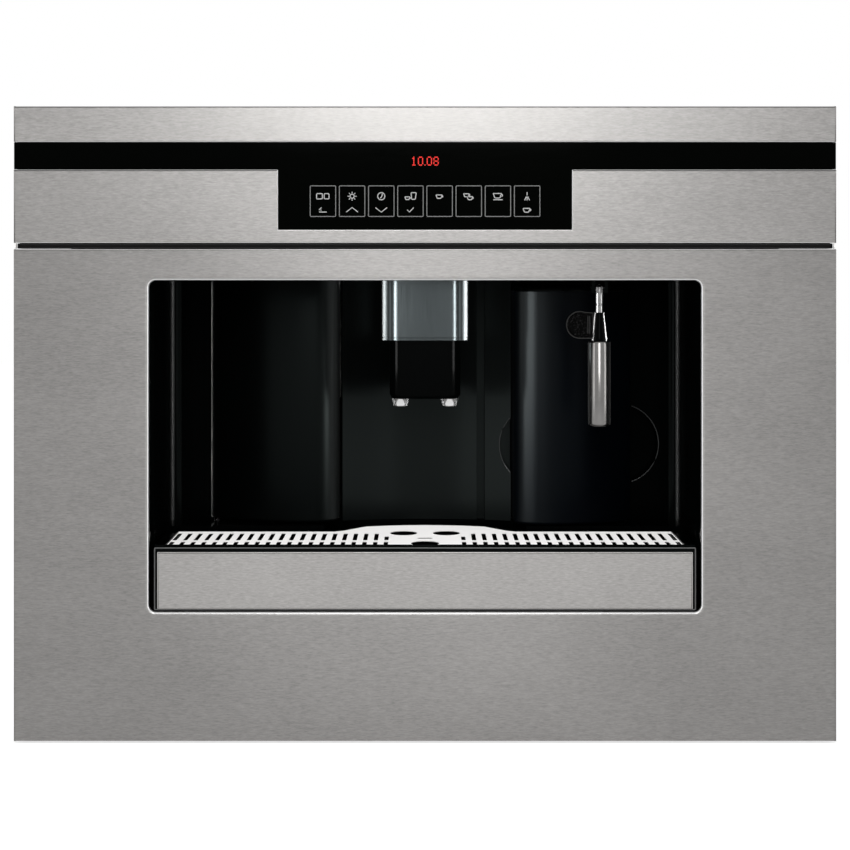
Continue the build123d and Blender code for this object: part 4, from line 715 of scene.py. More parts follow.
class COFFEE_OT_gap_strip(Operator):
    """Dark strip between the lower front and the fascia, with a bright peg at each end"""

    bl_idname = "coffee.gap_strip"
    bl_label = "Gap Strip"

    def execute(self, context):
        middle = (PANEL[5] + FASCIA[4]) / 2
        half = PANEL[1] - PEG_GAP
        strip = bar(-half, half, 2.2 * MM, GAP_BACK, middle - 0.7 * MM, middle + 0.7 * MM, 0.5 * MM)
        new_piece("gap_strip", [strip], "gap_black")
        pegs = [bar(x - 0.6 * MM, x + 0.6 * MM, 1.2 * MM, GAP_BACK, middle - 1.9 * MM, middle + 1.9 * MM)
                for x in (-half - PEG_REACH, half + PEG_REACH)]
        new_piece("gap_pegs", pegs, "satin_steel")
        return {"FINISHED"}


# ---------------- display
KEY_COUNT = 8
KEY_PITCH = 21.06 * MM
FIRST_KEY_X = -73.7 * MM
KEY_HALF_WIDTH = 9.2 * MM
KEY_Z = (381.0 * MM, 403.1 * MM)
UPPER = 395.6 * MM                  # the two rows of symbols on the keys
LOWER = 385.8 * MM
PRINT_DEPTH = 0.36 * MM
CLOCK_TEXT = "10.08"
CLOCK_LEFT = -9.6 * MM
CLOCK_Z = 421.0 * MM

# 5 x 7 dots of each number, one row per entry from the top, the leftmost dot worth 16
DOTS = {
    "1": (4, 12, 4, 4, 4, 4, 14),
    "0": (14, 17, 17, 17, 17, 17, 14),
    "8": (14, 17, 17, 14, 17, 17, 14),
}


def cup(key, row, x, z, width):
    """A cup from the side: a bowl with rounded foot, and an ear."""
    half, high = width / 2, width * 0.55
    bowl = rounded([(x - half * 0.62, z), (x + half * 0.62, z), (x + half, z + high), (x - half, z + high)],
                   high * np.array([0.3, 0.3, 0.08, 0.08]), 5)
    ear = arc(x + half * 0.95, z + high * 0.58, high * 0.26, -80, 80, 8)
    return [(key, row, bowl, True), (key, row, ear, False)]


def symbols():
    """Lines of the keys' symbols: (key, row, millimetres from the key's centre and the row, closed)."""
    rays = [(1, UPPER, np.outer((2.2, 3.2), (math.cos(turn), math.sin(turn))), False)
            for turn in np.radians(np.arange(0, 360, 45))]
    jets = [(7, UPPER, [(lean * 0.3, -0.3), (lean, -2.9)], False) for lean in (-1.8, 0.0, 1.8)]
    return [
        (0, UPPER, rectangle(-4.6, -0.4, -1.9, 1.9, 0.6, 4), True),
        (0, UPPER, rectangle(0.9, 4.4, -1.9, 1.9, 0.6, 4), True),
        (0, LOWER, [(2.8, -1.6), (-2.8, -1.6)], False),
        (0, LOWER, [(-1.0, 1.7), (-2.8, 0.0), (-1.0, -0.2)], False),
        (1, UPPER, circle(0.0, 0.0, 1.5, 20), True), *rays,
        (1, LOWER, [(-4.2, -1.6), (0.0, 1.7), (4.2, -1.6)], False),
        (2, UPPER, circle(0.0, 0.0, 2.6, 24), True),
        (2, UPPER, arc(-2.2, 1.2, 2.9, -62, 12, 8), False),
        (2, LOWER, [(-4.2, 1.6), (0.0, -1.7), (4.2, 1.6)], False),
        *cup(3, UPPER, -2.2, -2.4, 3.6),
        (3, UPPER, rounded([(0.9, -2.2), (3.5, -2.2), (4.2, 2.6), (0.4, 2.6)], 0.5, 4), True),
        (3, LOWER, [(-2.4, 0.0), (-0.7, -1.6), (2.4, 1.6)], False),
        *cup(4, UPPER, -0.4, -1.5, 4.4),
        *cup(5, UPPER, -1.7, -0.4, 4.0),
        *cup(5, UPPER, 0.8, -2.5, 4.0),
        *cup(6, UPPER, -0.4, -1.3, 6.0),
        (6, UPPER, [(-3.4, -2.5), (3.4, -2.5)], False),
        (7, UPPER, [(0.0, 3.0), (0.0, 0.6)], False), *jets,
        *cup(7, LOWER, -0.4, -1.7, 5.0),
    ]


class COFFEE_OT_display(Operator):
    """T-shaped glass with eight printed keys, their symbols and the lit clock"""

    bl_idname = "coffee.display"
    bl_label = "Display"

    def execute(self, context):
        x0, x1, d0, d1, z0, z1 = GLASS
        half, band = NOTCH[0] - SHEET_GAP, FASCIA[5] + SHEET_GAP
        corners = [(x0, z1), (x0, band), (-half, band), (-half, z0),
                   (half, z0), (half, band), (x1, band), (x1, z1)]
        rim = edge_profile(0.25 * MM, d0, d1, both=True, steps=4)
        glass = rimmed(rounded(corners, 0.3 * MM, 4), rim, front_plane)
        new_piece("display_glass_pane", [glass], "display_glass", replaced=["display_glass"])

        frames = [stroke(rectangle(x - KEY_HALF_WIDTH, x + KEY_HALF_WIDTH, *KEY_Z, 0.7 * MM, 4),
                         sizes().key_line, PRINT_DEPTH, closed=True)
                  for x in FIRST_KEY_X + KEY_PITCH * np.arange(KEY_COUNT)]
        new_piece("key_frames", frames, "key_print", outward=False)
        lines = [stroke(np.array(points) * MM + (FIRST_KEY_X + key * KEY_PITCH, row),
                        sizes().symbol_line, PRINT_DEPTH, closed) for key, row, points, closed in symbols()]
        new_piece("key_symbols", lines, "key_symbols", outward=False)
        self.clock()
        return {"FINISHED"}

    @staticmethod
    def clock():
        """Numbers made of lit dots, each row's number giving its dots."""
        pitch = sizes().digit_height / 7
        half, dots, left = pitch * 0.36, [], CLOCK_LEFT
        for character in CLOCK_TEXT:
            if character == ".":
                dots.append((left, CLOCK_Z - 3 * pitch))
                left += 1.7 * pitch
                continue
            rows = np.array(DOTS[character])[:, None] >> np.arange(4, -1, -1) & 1
            row, column = np.nonzero(rows)
            dots += list(zip(left + column * pitch * 0.82, CLOCK_Z + (3 - row) * pitch))
            left += 5.1 * pitch
        square = half * np.array([(-1, -1), (1, -1), (1, 1), (-1, 1)])
        quads = [(front_plane(*(square + dot).T, PRINT_DEPTH), [(0, 1, 2, 3)]) for dot in dots]
        new_piece("clock_numbers", quads, "clock_red", outward=False)


# ---------------- niche
DOOR, TANK, TANK_LID = map(extent, ("service_door", "water_tank", "tank_lid"))
BULGE_FRONT = DOOR[2]
BULGE_CORNER = 18 * MM
DOOR_FLANK = (127 * MM, (-128 * MM, 99.5 * MM))     # depth where a flank ends, and a point on it
TANK_FLANK = (120 * MM, (128 * MM, 98.5 * MM))
OUTER_EDGE = 1.5 * MM
WALL = 2.5 * MM
RIM_STEP = 0.3 * MM         # a narrow last row of faces, so that a rim's shading stays at the rim
HINGE_DEPTH = 131 * MM
BARREL_RADII = (2.1 * MM, 3.8 * MM)
BARREL_INSET = 4 * MM
BARREL = (2.6 * MM, 12 * MM)                        # a hinge barrel's reach from the door's end
POUR_HOLE = (114 * MM, 122 * MM, 13 * MM)
NICHE_SIDE, NICHE_BACK = 198.35 * MM, 136.95 * MM   # just in front of the lining's walls
NICHE_Z = (146.0 * MM, 345.0 * MM)
COVE = 6.5 * MM
RECESS_Z, RECESS_RADIUS = 205.6 * MM, 31.5 * MM     # finger recess behind the tank
RECESS_RIM = 0.45 * MM
MIDDLE_BACK, MIDDLE_BEND, MIDDLE_X = 137 * MM, 186.1 * MM, 1.25 * MM    # the concave middle wall


def bulge(inner, outer, flank_end, flank_middle, rear):
    """Plan of a bulging front between two sides: a straight inner side, a rounded inner corner, and
    a swept flank that falls back to the outer side. Works for the left and the right bulge alike."""
    towards = math.copysign(1, outer - inner)
    corner_x = inner + towards * BULGE_CORNER
    slant = BULGE_CORNER * (1 - math.sqrt(0.5))
    corner = bow((inner, BULGE_FRONT + BULGE_CORNER), (inner + towards * slant, BULGE_FRONT + slant),
                 (corner_x, BULGE_FRONT))
    flank = bow((corner_x, BULGE_FRONT), flank_middle, (outer, flank_end), 20)
    fall = math.atan2(flank[-1][1] - flank[-2][1], towards * (flank[-1][0] - flank[-2][0]))
    turn = np.linspace(math.pi / 2 - fall, 0, 6)
    side = OUTER_EDGE * np.stack([towards * (np.cos(turn) - 1), 1 - np.sin(turn)], -1)
    side = side + (outer, flank_end - OUTER_EDGE * 0.2)
    keep = towards * (flank[:, 0] - side[0, 0]) < -0.2 * MM
    return path([(inner, rear), (inner, rear - RIM_STEP)], corner, flank[keep], side,
                [(outer, rear - RIM_STEP), (outer, rear)])


class COFFEE_OT_niche_fronts(Operator):
    """Bulging door on the left, water tank with its lid on the right, coves and recess behind them"""

    bl_idname = "coffee.niche_fronts"
    bl_label = "Door and Water Tank"

    def execute(self, context):
        self.door(sizes().mould_edge)
        self.tank(sizes().mould_edge)
        self.coves()
        self.recess_rims()
        return {"FINISHED"}

    def door(self, edge):
        x, low, high = DOOR[0], DOOR[4], DOOR[5]
        outline = bulge(DOOR[1], x, *DOOR_FLANK, DOOR[3])
        shell = rimmed(outline, edge_profile(edge, low, high, both=True), plan_plane)
        rear = FRONT_Y + DOOR[3] - 0.01 * MM
        self.thicken(new_piece("service_door_shell", [shell], "bulge_gloss", "service_door", ["service_door"],
                               opened=lambda centre: centre.y > rear))
        near, far = BARREL
        inner, outer = BARREL_RADII
        axis = (x + BARREL_INSET, HINGE_DEPTH)
        barrels = [turned([(inner, z0), (outer, z0), (outer, z1), (inner, z1)], plan_plane, axis, 24)
                   for z0, z1 in ((low + near, low + far), (high - far, high - near))]
        new_piece("door_barrels", barrels, "grained_black", "service_door")

    def tank(self, edge):
        top, lid_top = TANK[5], TANK_LID[5]
        outline = bulge(TANK[0], TANK[1], *TANK_FLANK, TANK[3])
        inset, height = edge_profile(edge, TANK[4], top)
        tub = rimmed(outline, (np.append(inset, 0.0), np.insert(height, -1, top - RIM_STEP)), plan_plane)
        self.thicken(new_piece("water_tank_tub", [tub], "tank_gloss", "water_tank", ["water_tank"],
                               opened=lambda centre: centre.z > top - 0.01 * MM))
        inset, height = edge_profile(1.2 * MM, lid_top, top + 0.15 * MM)
        hole = (circle(*POUR_HOLE, 40), (inset / 2, height))
        new_piece("water_tank_lid", [rimmed(outline, (inset, height), plan_plane, [hole])], "niche_gloss",
                  "water_tank", ["tank_lid"])

    @staticmethod
    def thicken(piece):
        wall = piece.modifiers.new("wall", "SOLIDIFY")
        wall.thickness = WALL
        wall.offset = -1.0

    @staticmethod
    def coves():
        """Rounded corners between the niche's side walls and its back."""
        x, depth, (low, high) = NICHE_SIDE, NICHE_BACK, NICHE_Z
        turn = np.linspace(0, math.pi / 2, 9)
        curve = np.stack([x - COVE * (1 - np.cos(turn)), depth - COVE * (1 - np.sin(turn))], -1)
        behind = 0.4 * MM
        corner = path(curve, [(x - COVE, depth + behind), (x + behind, depth + behind),
                              (x + behind, depth - COVE)])
        heights = np.array([low, low + RIM_STEP, high - RIM_STEP, high])
        parts = [rimmed(corner * (side, 1), (np.zeros(4), heights), plan_plane) for side in (-1, 1)]
        new_piece("niche_coves", parts, "niche_gloss")

    @staticmethod
    def recess_rims():
        """Rolled edge of the finger recess where it shows beside the tank: arcs on the back wall and
        on the middle wall, whose depth follows its own circle."""
        # The rims' grey, lighter than the niche, is a painted highlight.
        right = arc(152.5 * MM, RECESS_Z, RECESS_RADIUS, -71, 71, 24)
        left = arc(89.8 * MM, RECESS_Z, RECESS_RADIUS, 137, 223, 16)
        depth = MIDDLE_BACK - MIDDLE_BEND + np.sqrt(MIDDLE_BEND ** 2 - (left[:, 0] - MIDDLE_X) ** 2)
        routes = [front_plane(*right.T, np.full(len(right), MIDDLE_BACK)), front_plane(*left.T, depth)]
        new_piece("recess_rims", [tube(route, RECESS_RIM, 8) for route in routes], "recess_rim_highlight")


# ---------------- spout and steam wand
SHROUD, SPOUT, NOZZLES = map(extent, ("spout_shroud", "spout_body", "spout_nozzles"))
TUBE, HOLDER, SLEEVE = map(extent, ("wand_tube", "wand_holder", "frother_sleeve"))
WAND_AXIS = ((SLEEVE[0] + SLEEVE[1]) / 2, (SLEEVE[2] + SLEEVE[3]) / 2)
OUTLET_X = NOZZLES[1] - 7.2 * MM
NOSE_CHAMFER = 2.2 * MM
SHROUD_LINING = 56 * MM     # how far the shroud's inner wall goes up, clear of the raised spout
TAB_RADIUS = 10.2 * MM
TAB_HALF = 3 * MM
RIB = (0.3 * MM, 6.5 * MM, 0.2 * MM)                # half width, half length and rounding
RIB_PLACES = np.array([1.4, 2.7, 4.0]) * MM         # from the tab's root

# (inset, rise) of the shroud's rim from inside to outside, in millimetres: lining, rolled lip, groove
SHROUD_RIM = ((1.5, 0.6), (0.84, 0.1), (0.35, 0.0), (0.0, 0.35), (0.0, 1.9), (0.5, 2.1), (0.5, 2.4),
              (0.0, 2.6))
# (radius, rise) of an outlet from its bottom, in millimetres
OUTLET_STEPS = ((0.5, 16), (2.6, 16), (2.6, 0.6), (3.0, 0.1), (3.6, 0.0), (4.7, 0.0), (5.2, 0.2), (5.45, 0.7),
                (5.55, 1.4), (6.4, 4.8), (6.9, 5.6), (7.1, 6.2))
OUTLET_TOP_STEPS = ((7.2, -0.3), (7.1, 0.0), (4.5, 0.0), (4.5, 12.0), (0.5, 12.0))
TUBE_STEPS = ((2.75, -14.5), (2.35, -14.9), (2.35, -15.5), (2.75, -15.9))
CONE_TOP_STEPS = ((2.8, 0.0), (3.2, 0.0), (3.55, -0.3), (3.7, -1.2))
CONE_FOOT_STEPS = ((5.7, 3.2), (5.9, 2.4), (5.9, 0.3), (5.7, 0.0), (2.8, 0.0))


def from_height(base, steps):
    """Steps given in millimetres, their second number counted from the base height."""
    return np.array(steps) * MM + (0.0, base)


class COFFEE_OT_spout(Operator):
    """Brushed shroud with its rolled lip, black two-way spout and two flared outlets"""

    bl_idname = "coffee.spout"
    bl_label = "Spout"

    def execute(self, context):
        _, x1, d0, d1, z0, z1 = SHROUD
        lining = [(3 * WALL, z0 + SHROUD_LINING), (1.5 * MM, z0 + SHROUD_LINING)]
        inset, height = np.concatenate([lining, from_height(z0, SHROUD_RIM), [(0.0, z1)]]).T
        sleeve = rimmed(self.plan(x1, d0, d1), (inset, height), plan_plane)
        new_piece("spout_shroud_sleeve", [sleeve], "shroud_steel_dark_reflection", replaced=["spout_shroud"])

        _, x1, d0, d1, z0, z1 = SPOUT
        inset = np.array([6 * MM, NOSE_CHAMFER, 0.5 * MM, 0.0, 0.0])
        height = np.array([z0, z0, z0 + NOSE_CHAMFER, z0 + NOSE_CHAMFER * 1.6, z1])
        block = rimmed(self.plan(x1, d0, d1), (inset, height), plan_plane)
        new_piece("spout_nose", [block], "spout_gloss", "spout", ["spout_body"])

        profile = np.concatenate([from_height(NOZZLES[4], OUTLET_STEPS),
                                  from_height(SPOUT[4], OUTLET_TOP_STEPS)])
        depth = (NOZZLES[2] + NOZZLES[3]) / 2
        outlets = [turned(profile, plan_plane, (x, depth)) for x in (-OUTLET_X, OUTLET_X)]
        new_piece("spout_outlets", outlets, "bright_steel", "spout", ["spout_nozzles"], crease=50)
        return {"FINISHED"}

    @staticmethod
    def plan(half, front, back):
        """D-shaped plan: flat back, rounded shoulders and a flat middle in front."""
        shoulder, fall = half * 0.62, front + 13 * MM
        bend = ((half + shoulder) / 2 + 2.6 * MM, front + 3.4 * MM)
        right = bow((shoulder, front), bend, (half, fall), 14)
        left = right[::-1] * (-1, 1)
        return path(left, right, [(half, back), (-half, back)])


class COFFEE_OT_steam_wand(Operator):
    """Bright tube with its rounded head, black holder with a ribbed tab, and the brushed sleeve"""

    bl_idname = "coffee.steam_wand"
    bl_label = "Steam Wand"

    def execute(self, context):
        top, radius = TUBE[5], TUBE_STEPS[0][0] * MM
        turn = np.radians(np.linspace(86, 0, 9))
        head = np.stack([radius * np.cos(turn), top - radius + radius * np.sin(turn)], -1)
        steps = np.concatenate([head, from_height(top, TUBE_STEPS), [(radius, HOLDER[4] - 30 * MM)]])
        self.piece("wand_tube_bright", steps, "tube_steel_shaded", "wand_tube")

        steps = np.concatenate([from_height(HOLDER[5] - 1.0 * MM, CONE_TOP_STEPS),
                                from_height(HOLDER[4], CONE_FOOT_STEPS)])
        self.piece("wand_holder_cone", steps, "cone_gloss", "wand_holder")
        self.tab()

        low, top, full = SLEEVE[4], SLEEVE[5], SLEEVE[1] - WAND_AXIS[0]
        turn = np.radians(np.linspace(90, 0, 9))
        foot = np.stack([full - 4.2 * MM * (1 - np.cos(turn)), low + 3.0 * MM * (1 - np.sin(turn))], -1)
        shoulder = (full, top) - np.array([(0.0, 1.6), (0.5, 0.6), (1.4, 0.1)]) * MM
        steps = np.concatenate([from_height(low, ((4.0, 6.0), (4.0, 0.1))), foot, shoulder,
                                from_height(top, ((5.4, 0.0), (2.8, 0.0)))])
        self.piece("frother_sleeve_brushed", steps, "sleeve_steel_shaded", "frother_sleeve", 64)
        return {"FINISHED"}

    @staticmethod
    def piece(name, steps, finish, replaced, count=48):
        new_piece(name, [turned(steps, plan_plane, WAND_AXIS, count)], finish, "steam_wand", [replaced])

    @staticmethod
    def tab():
        """Tab beside the holder: half a disc and a straight part, a raised rim round a grained floor
        on both faces; its edges and the short ribs where it meets the holder are lighter, a painted
        highlight."""
        x, z, root = HOLDER[0] + TAB_RADIUS, HOLDER[5] - TAB_RADIUS, WAND_AXIS[0] - 4.6 * MM
        face, back = WAND_AXIS[1] - TAB_HALF, WAND_AXIS[1] + TAB_HALF
        outline = path([(root, z + 9.0 * MM)], arc(x, z, TAB_RADIUS, 72, 270, 30), [(root, z - TAB_RADIUS)])
        inset, height = edge_profile(0.5 * MM, face, back, both=True, steps=4)
        floor = np.array([inset[0] + 1.6 * MM, 2.0 * MM, 1.5 * MM])
        sunk = np.array([0.8 * MM, 0.8 * MM, 0.05 * MM])
        inset = np.concatenate([floor, inset[1:-1], floor[::-1]])
        height = np.concatenate([face + sunk, height[1:-1], back - sunk[::-1]])
        new_piece("wand_tab", [rimmed(outline, (inset, height), front_plane)], "tab_black", "steam_wand")

        line = edge_profile(0.25 * MM, face - 0.1 * MM, face + 0.3 * MM, steps=3)
        inner = outline + (np.array([x, z]) - outline) * (0.7 * MM / TAB_RADIUS)
        edges = [rimmed(outline, line, front_plane, [(inner, line)])]
        half, reach, ease = RIB
        span = (face + 0.3 * MM, face + 1.2 * MM, z - reach, z + reach)
        edges += [bar(middle - half, middle + half, *span, ease) for middle in root - RIB_PLACES]
        # The edges and ribs are a lighter grey than the tab: a painted highlight
        new_piece("wand_tab_edges", edges, "tab_edge_highlight", "steam_wand")


# ---------------- drip grille
GRILLE_HALF_PLAN = ((69 * MM, 88 * MM), (62 * MM, 94.5 * MM), (46 * MM, 119.5 * MM))    # its bay's right side
GRILLE_REAR = 129 * MM
SLOT_PITCH, SLOT_WIDTH, FIRST_SLOT_X = 7.845 * MM, 3.1 * MM, 28.6 * MM
FRONT_SLOT = (18.5 * MM, 21 * MM)                   # a slot's middle and length
REAR_SLOT = (57.0 * MM, 40 * MM)
FIRST_REAR_SLOT = (49.0 * MM, 22 * MM)              # the slots next to the cup's place are shorter
CUP_HOLES = ((-16.2 * MM, 79.5 * MM), (16.2 * MM, 79.5 * MM), (0.0, 20 * MM))
CUP_HOLE = 10.2 * MM * np.array([1.0, 1.3])
MIDDLE_SLOT = (-6 * MM, 6 * MM, 46.5 * MM, 52.5 * MM, 2.9 * MM)


class COFFEE_OT_drip_grille(Operator):
    """Stainless grille with eased slots, round holes and a rolled rim"""

    bl_idname = "coffee.drip_grille"
    bl_label = "Drip Grille"

    def execute(self, context):
        _, half, front, _, low, top = GRID
        right = [(half, GRILLE_HALF_PLAN[0][1]), *GRILLE_HALF_PLAN]
        left = [(-x, depth) for x, depth in reversed(right)]
        rear = bow(right[-1], (0.0, GRILLE_REAR), left[0], 24)
        outline = path([(-half, front), (half, front)], right, rear, left)
        rim = edge_profile(sizes().slot_edge / 2, top, (top + low) / 2, both=True, steps=4)
        grille = rimmed(outline, rim, plan_plane, [(hole, rim) for hole in self.holes()])
        new_piece("drip_grille_plate", [grille], "grille_steel", "drip_grid", ["drip_grid"])
        return {"FINISHED"}

    @staticmethod
    def holes():
        """Outlines of the slots, mirrored to both sides, and of the middle's round holes."""
        shapes = []
        for index in range(sizes().slots_per_side):
            for side in (-1, 1):
                x = side * (FIRST_SLOT_X + index * SLOT_PITCH)
                for middle, long in (REAR_SLOT if index else FIRST_REAR_SLOT, FRONT_SLOT):
                    ends = (x - SLOT_WIDTH / 2, x + SLOT_WIDTH / 2, middle - long / 2, middle + long / 2)
                    shapes.append(rectangle(*ends, 0.45 * MM, 3))
        shapes += [circle(0.0, 0.0, 1.0, 40) * CUP_HOLE + centre for centre in CUP_HOLES]
        return shapes + [rectangle(*MIDDLE_SLOT, 6)]


# ---------------- eased edges of the CAD parts
# Millimetres by which the edges of the CAD nodes that stay visible are eased
EASED = {
    0.2: ("burr_ring",),
    0.3: ("spout_shroud", "side_panels", "rear_panel", "top_cover", "lower_burr"),
    0.4: ("base_chassis", "cabinet_rails", "middle_rails", "inner_rails", "mains_inlet"),
    0.5: ("front_frame", "main_switch", "cavity_liner", "centre_wall", "brew_chamber", "brew_piston",
          "grounds_container", "coffee_chute", "tank_bay"),
    0.6: ("wand_socket", "control_housing", "brew_frame", "bean_hopper"),
    0.7: ("drip_tray", "grind_knob"),
    0.8: ("grinder_housing", "boilers", "pump"),
    0.9: ("bean_lid", "funnel_lid"),
}
WELD_DISTANCE = 0.002 * MM
FLAT_ANGLE, BEVEL_ANGLE = 0.4, 40      # degrees


class COFFEE_OT_eased_edges(Operator):
    """Small rounded edges on the CAD parts that stay"""

    bl_idname = "coffee.eased_edges"
    bl_label = "Eased Edges"

    def execute(self, context):
        for node, width in [(node, width) for width, nodes in EASED.items() for node in nodes]:
            piece = NODES[node]
            piece.data.polygons.foreach_set("use_smooth", np.ones(len(piece.data.polygons), bool))
            weld = piece.modifiers.new("weld", "WELD")
            weld.merge_threshold = WELD_DISTANCE
            flat = piece.modifiers.new("flat", "DECIMATE")
            flat.decimate_type = "DISSOLVE"
            flat.angle_limit = math.radians(FLAT_ANGLE)
            bevel = piece.modifiers.new("bevel", "BEVEL")
            bevel.width = width * MM
            bevel.segments = 2
            bevel.limit_method = "ANGLE"
            bevel.angle_limit = math.radians(BEVEL_ANGLE)
            piece.modifiers.new("shading", "WEIGHTED_NORMAL")
        return {"FINISHED"}


# ---------------- materials of the pieces and nodes
class COFFEE_OT_finishes(Operator):
    """Makes every material and puts it on the CAD parts by their slot"""

    bl_idname = "coffee.finishes"
    bl_label = "Finishes"

    def execute(self, context):
        colors = context.scene.coffee_machine_colors
        steel, grille, bright = tuple(colors.steel), tuple(colors.grille), tuple(colors.bright)
        niche, glass = tuple(colors.niche), tuple(colors.glass)
        # edge: the colour of the painted highlight on the front sheets' rounded edges; the tray's painted
        # highlight is a lighter steel
        edge = shade(bright, 1.1)
        # The front's sheets are one steel in lit and shaded copies: the lower front darker, the top strip and
        # the tray plate lighter, as painted light and shade
        brushed_steel("front_steel", shade(steel, 0.97), rim=edge, stretch=0.15)
        brushed_steel("lower_steel_shaded", shade(steel, 0.83), rim=edge, stretch=0.4)
        brushed_steel("tray_steel", shade(steel, 1.22), rim=shade(steel, 1.8), stretch=0.3)
        brushed_steel("strip_steel", shade(steel, 1.07), rim=edge, stretch=0.1)
        brushed_steel("grille_steel", shade(grille, 1.18), roughness=0.45, along=(30, 900, 900),
                      contrast=0.04, metallic=0.3)
        # The shroud's steel is darkened far below the front steel: a painted dark reflection over its front
        brushed_steel("shroud_steel_dark_reflection", (0.025, 0.029, 0.03), roughness=0.2, along=(1500, 1500, 30),
                      contrast=0.15)
        # The sleeve is a shaded copy of the front steel: painted shade in its reflection
        brushed_steel("sleeve_steel_shaded", shade(steel, 0.7), roughness=0.2, along=(1600, 1600, 40), contrast=0.06)
        brushed_steel("satin_steel", grille, roughness=0.32, along=(1300, 1300, 60), contrast=0.05)
        polished_steel("bright_steel", bright)
        # The tube is the polished steel darkened to about a third: a painted dark reflection
        polished_steel("tube_steel_shaded", shade(bright, 0.35), roughness=0.14)
        galvanised("zinc_steel", (0.55, 0.56, 0.57))
        matte_plastic("blackened_steel", (0.012, 0.012, 0.013), roughness=0.35, grain=0.1)
        galvanised("case_sheet", (0.50, 0.51, 0.52))
        # The niche's glossy blacks reflect with a teal tint, and the tank's with a paler cyan one: painted
        # colour in their reflections
        painted_teal_reflection = (0.85, 1.0, 0.97)
        gloss_plastic("niche_gloss", niche, specular=0.03, reflection=painted_teal_reflection)
        gloss_plastic("bulge_gloss", niche, roughness=0.28, specular=0.03, reflection=painted_teal_reflection)
        gloss_plastic("wall_gloss", niche, roughness=0.2, specular=0.03, reflection=painted_teal_reflection)
        gloss_plastic("spout_gloss", niche, specular=0.015)
        gloss_plastic("liner_gloss", niche, specular=0.004)
        gloss_plastic("cone_gloss", niche, specular=0.012)
        gloss_plastic("tank_gloss", (0.0008, 0.0014, 0.0026), roughness=0.28, specular=0.03,
                      reflection=(0.9, 1.0, 1.0))
        gloss_plastic("hopper_smoke", (0.035, 0.032, 0.028), specular=0.3)
        gloss_plastic("red_moulding", (0.5, 0.02, 0.02), roughness=0.2, specular=0.4)
        matte_plastic("grained_black", (0.014, 0.014, 0.015))
        matte_plastic("gap_black", (0.009, 0.009, 0.009), roughness=0.7, specular=0.03)
        # Grey of the recess rims: a painted highlight along their rolled edge
        matte_plastic("recess_rim_highlight", (0.03, 0.032, 0.032), roughness=0.3, specular=0.3)
        # A grey for the tray's bezel: a painted highlight along its edge
        matte_plastic("bezel_highlight_grey", (0.10, 0.10, 0.10), roughness=0.4, specular=0.3)
        matte_plastic("grey_moulding", (0.22, 0.22, 0.23))
        matte_plastic("white_moulding", (0.72, 0.72, 0.70), roughness=0.4)
        matte_plastic("rubber", (0.02, 0.02, 0.02), roughness=0.75, grain=0.4)
        speckled_black("tab_black", 0.035)
        # The tab's edges, lighter than the tab: a painted highlight
        matte_plastic("tab_edge_highlight", (0.035, 0.035, 0.034), roughness=0.5, specular=0.1)
        matte_plastic("silicone", (0.68, 0.68, 0.66), roughness=0.45, grain=0.1)
        matte_plastic("lamp_lens", (0.8, 0.8, 0.76), roughness=0.5, grain=0.5, scale=900)
        cast_metal("cast_aluminium", (0.60, 0.61, 0.62))
        cast_metal("turned_brass", (0.62, 0.45, 0.20), roughness=0.28)
        circuit_board("circuit_board", (0.012, 0.10, 0.03))
        smoked_glass("display_glass", glass)
        printed("key_print", tuple(colors.ink))
        printed("key_symbols", tuple(colors.symbols))
        printed("clock_red", tuple(colors.clock), glow=0.9)
        for node, piece in NODES.items():
            piece.data.materials.clear()
            finish = FINISH_OF_NODE.get(node) or FINISHES_OF_SLOT[SLOT_OF_NODE[node]][0]
            piece.data.materials.append(bpy.data.materials[finish])
        return {"FINISHED"}


# ---------------- studio
PHOTO_SIDE = 850.0          # the photograph's frame, in pixels
FOCAL_PIXELS = 2078.0
HORIZON_ROW = 272.0         # the row of the photograph at the camera's own height
EYE_HEIGHT = 340.9 * MM
EYE_DISTANCE = 1.5
SENSOR = 36.0
FLOOR_HALF = 6.0
WORLD_LIGHT = 0.45          # the world's strength where it lights things, and 1 where it is seen
FLOOR_GLOW = 0.62

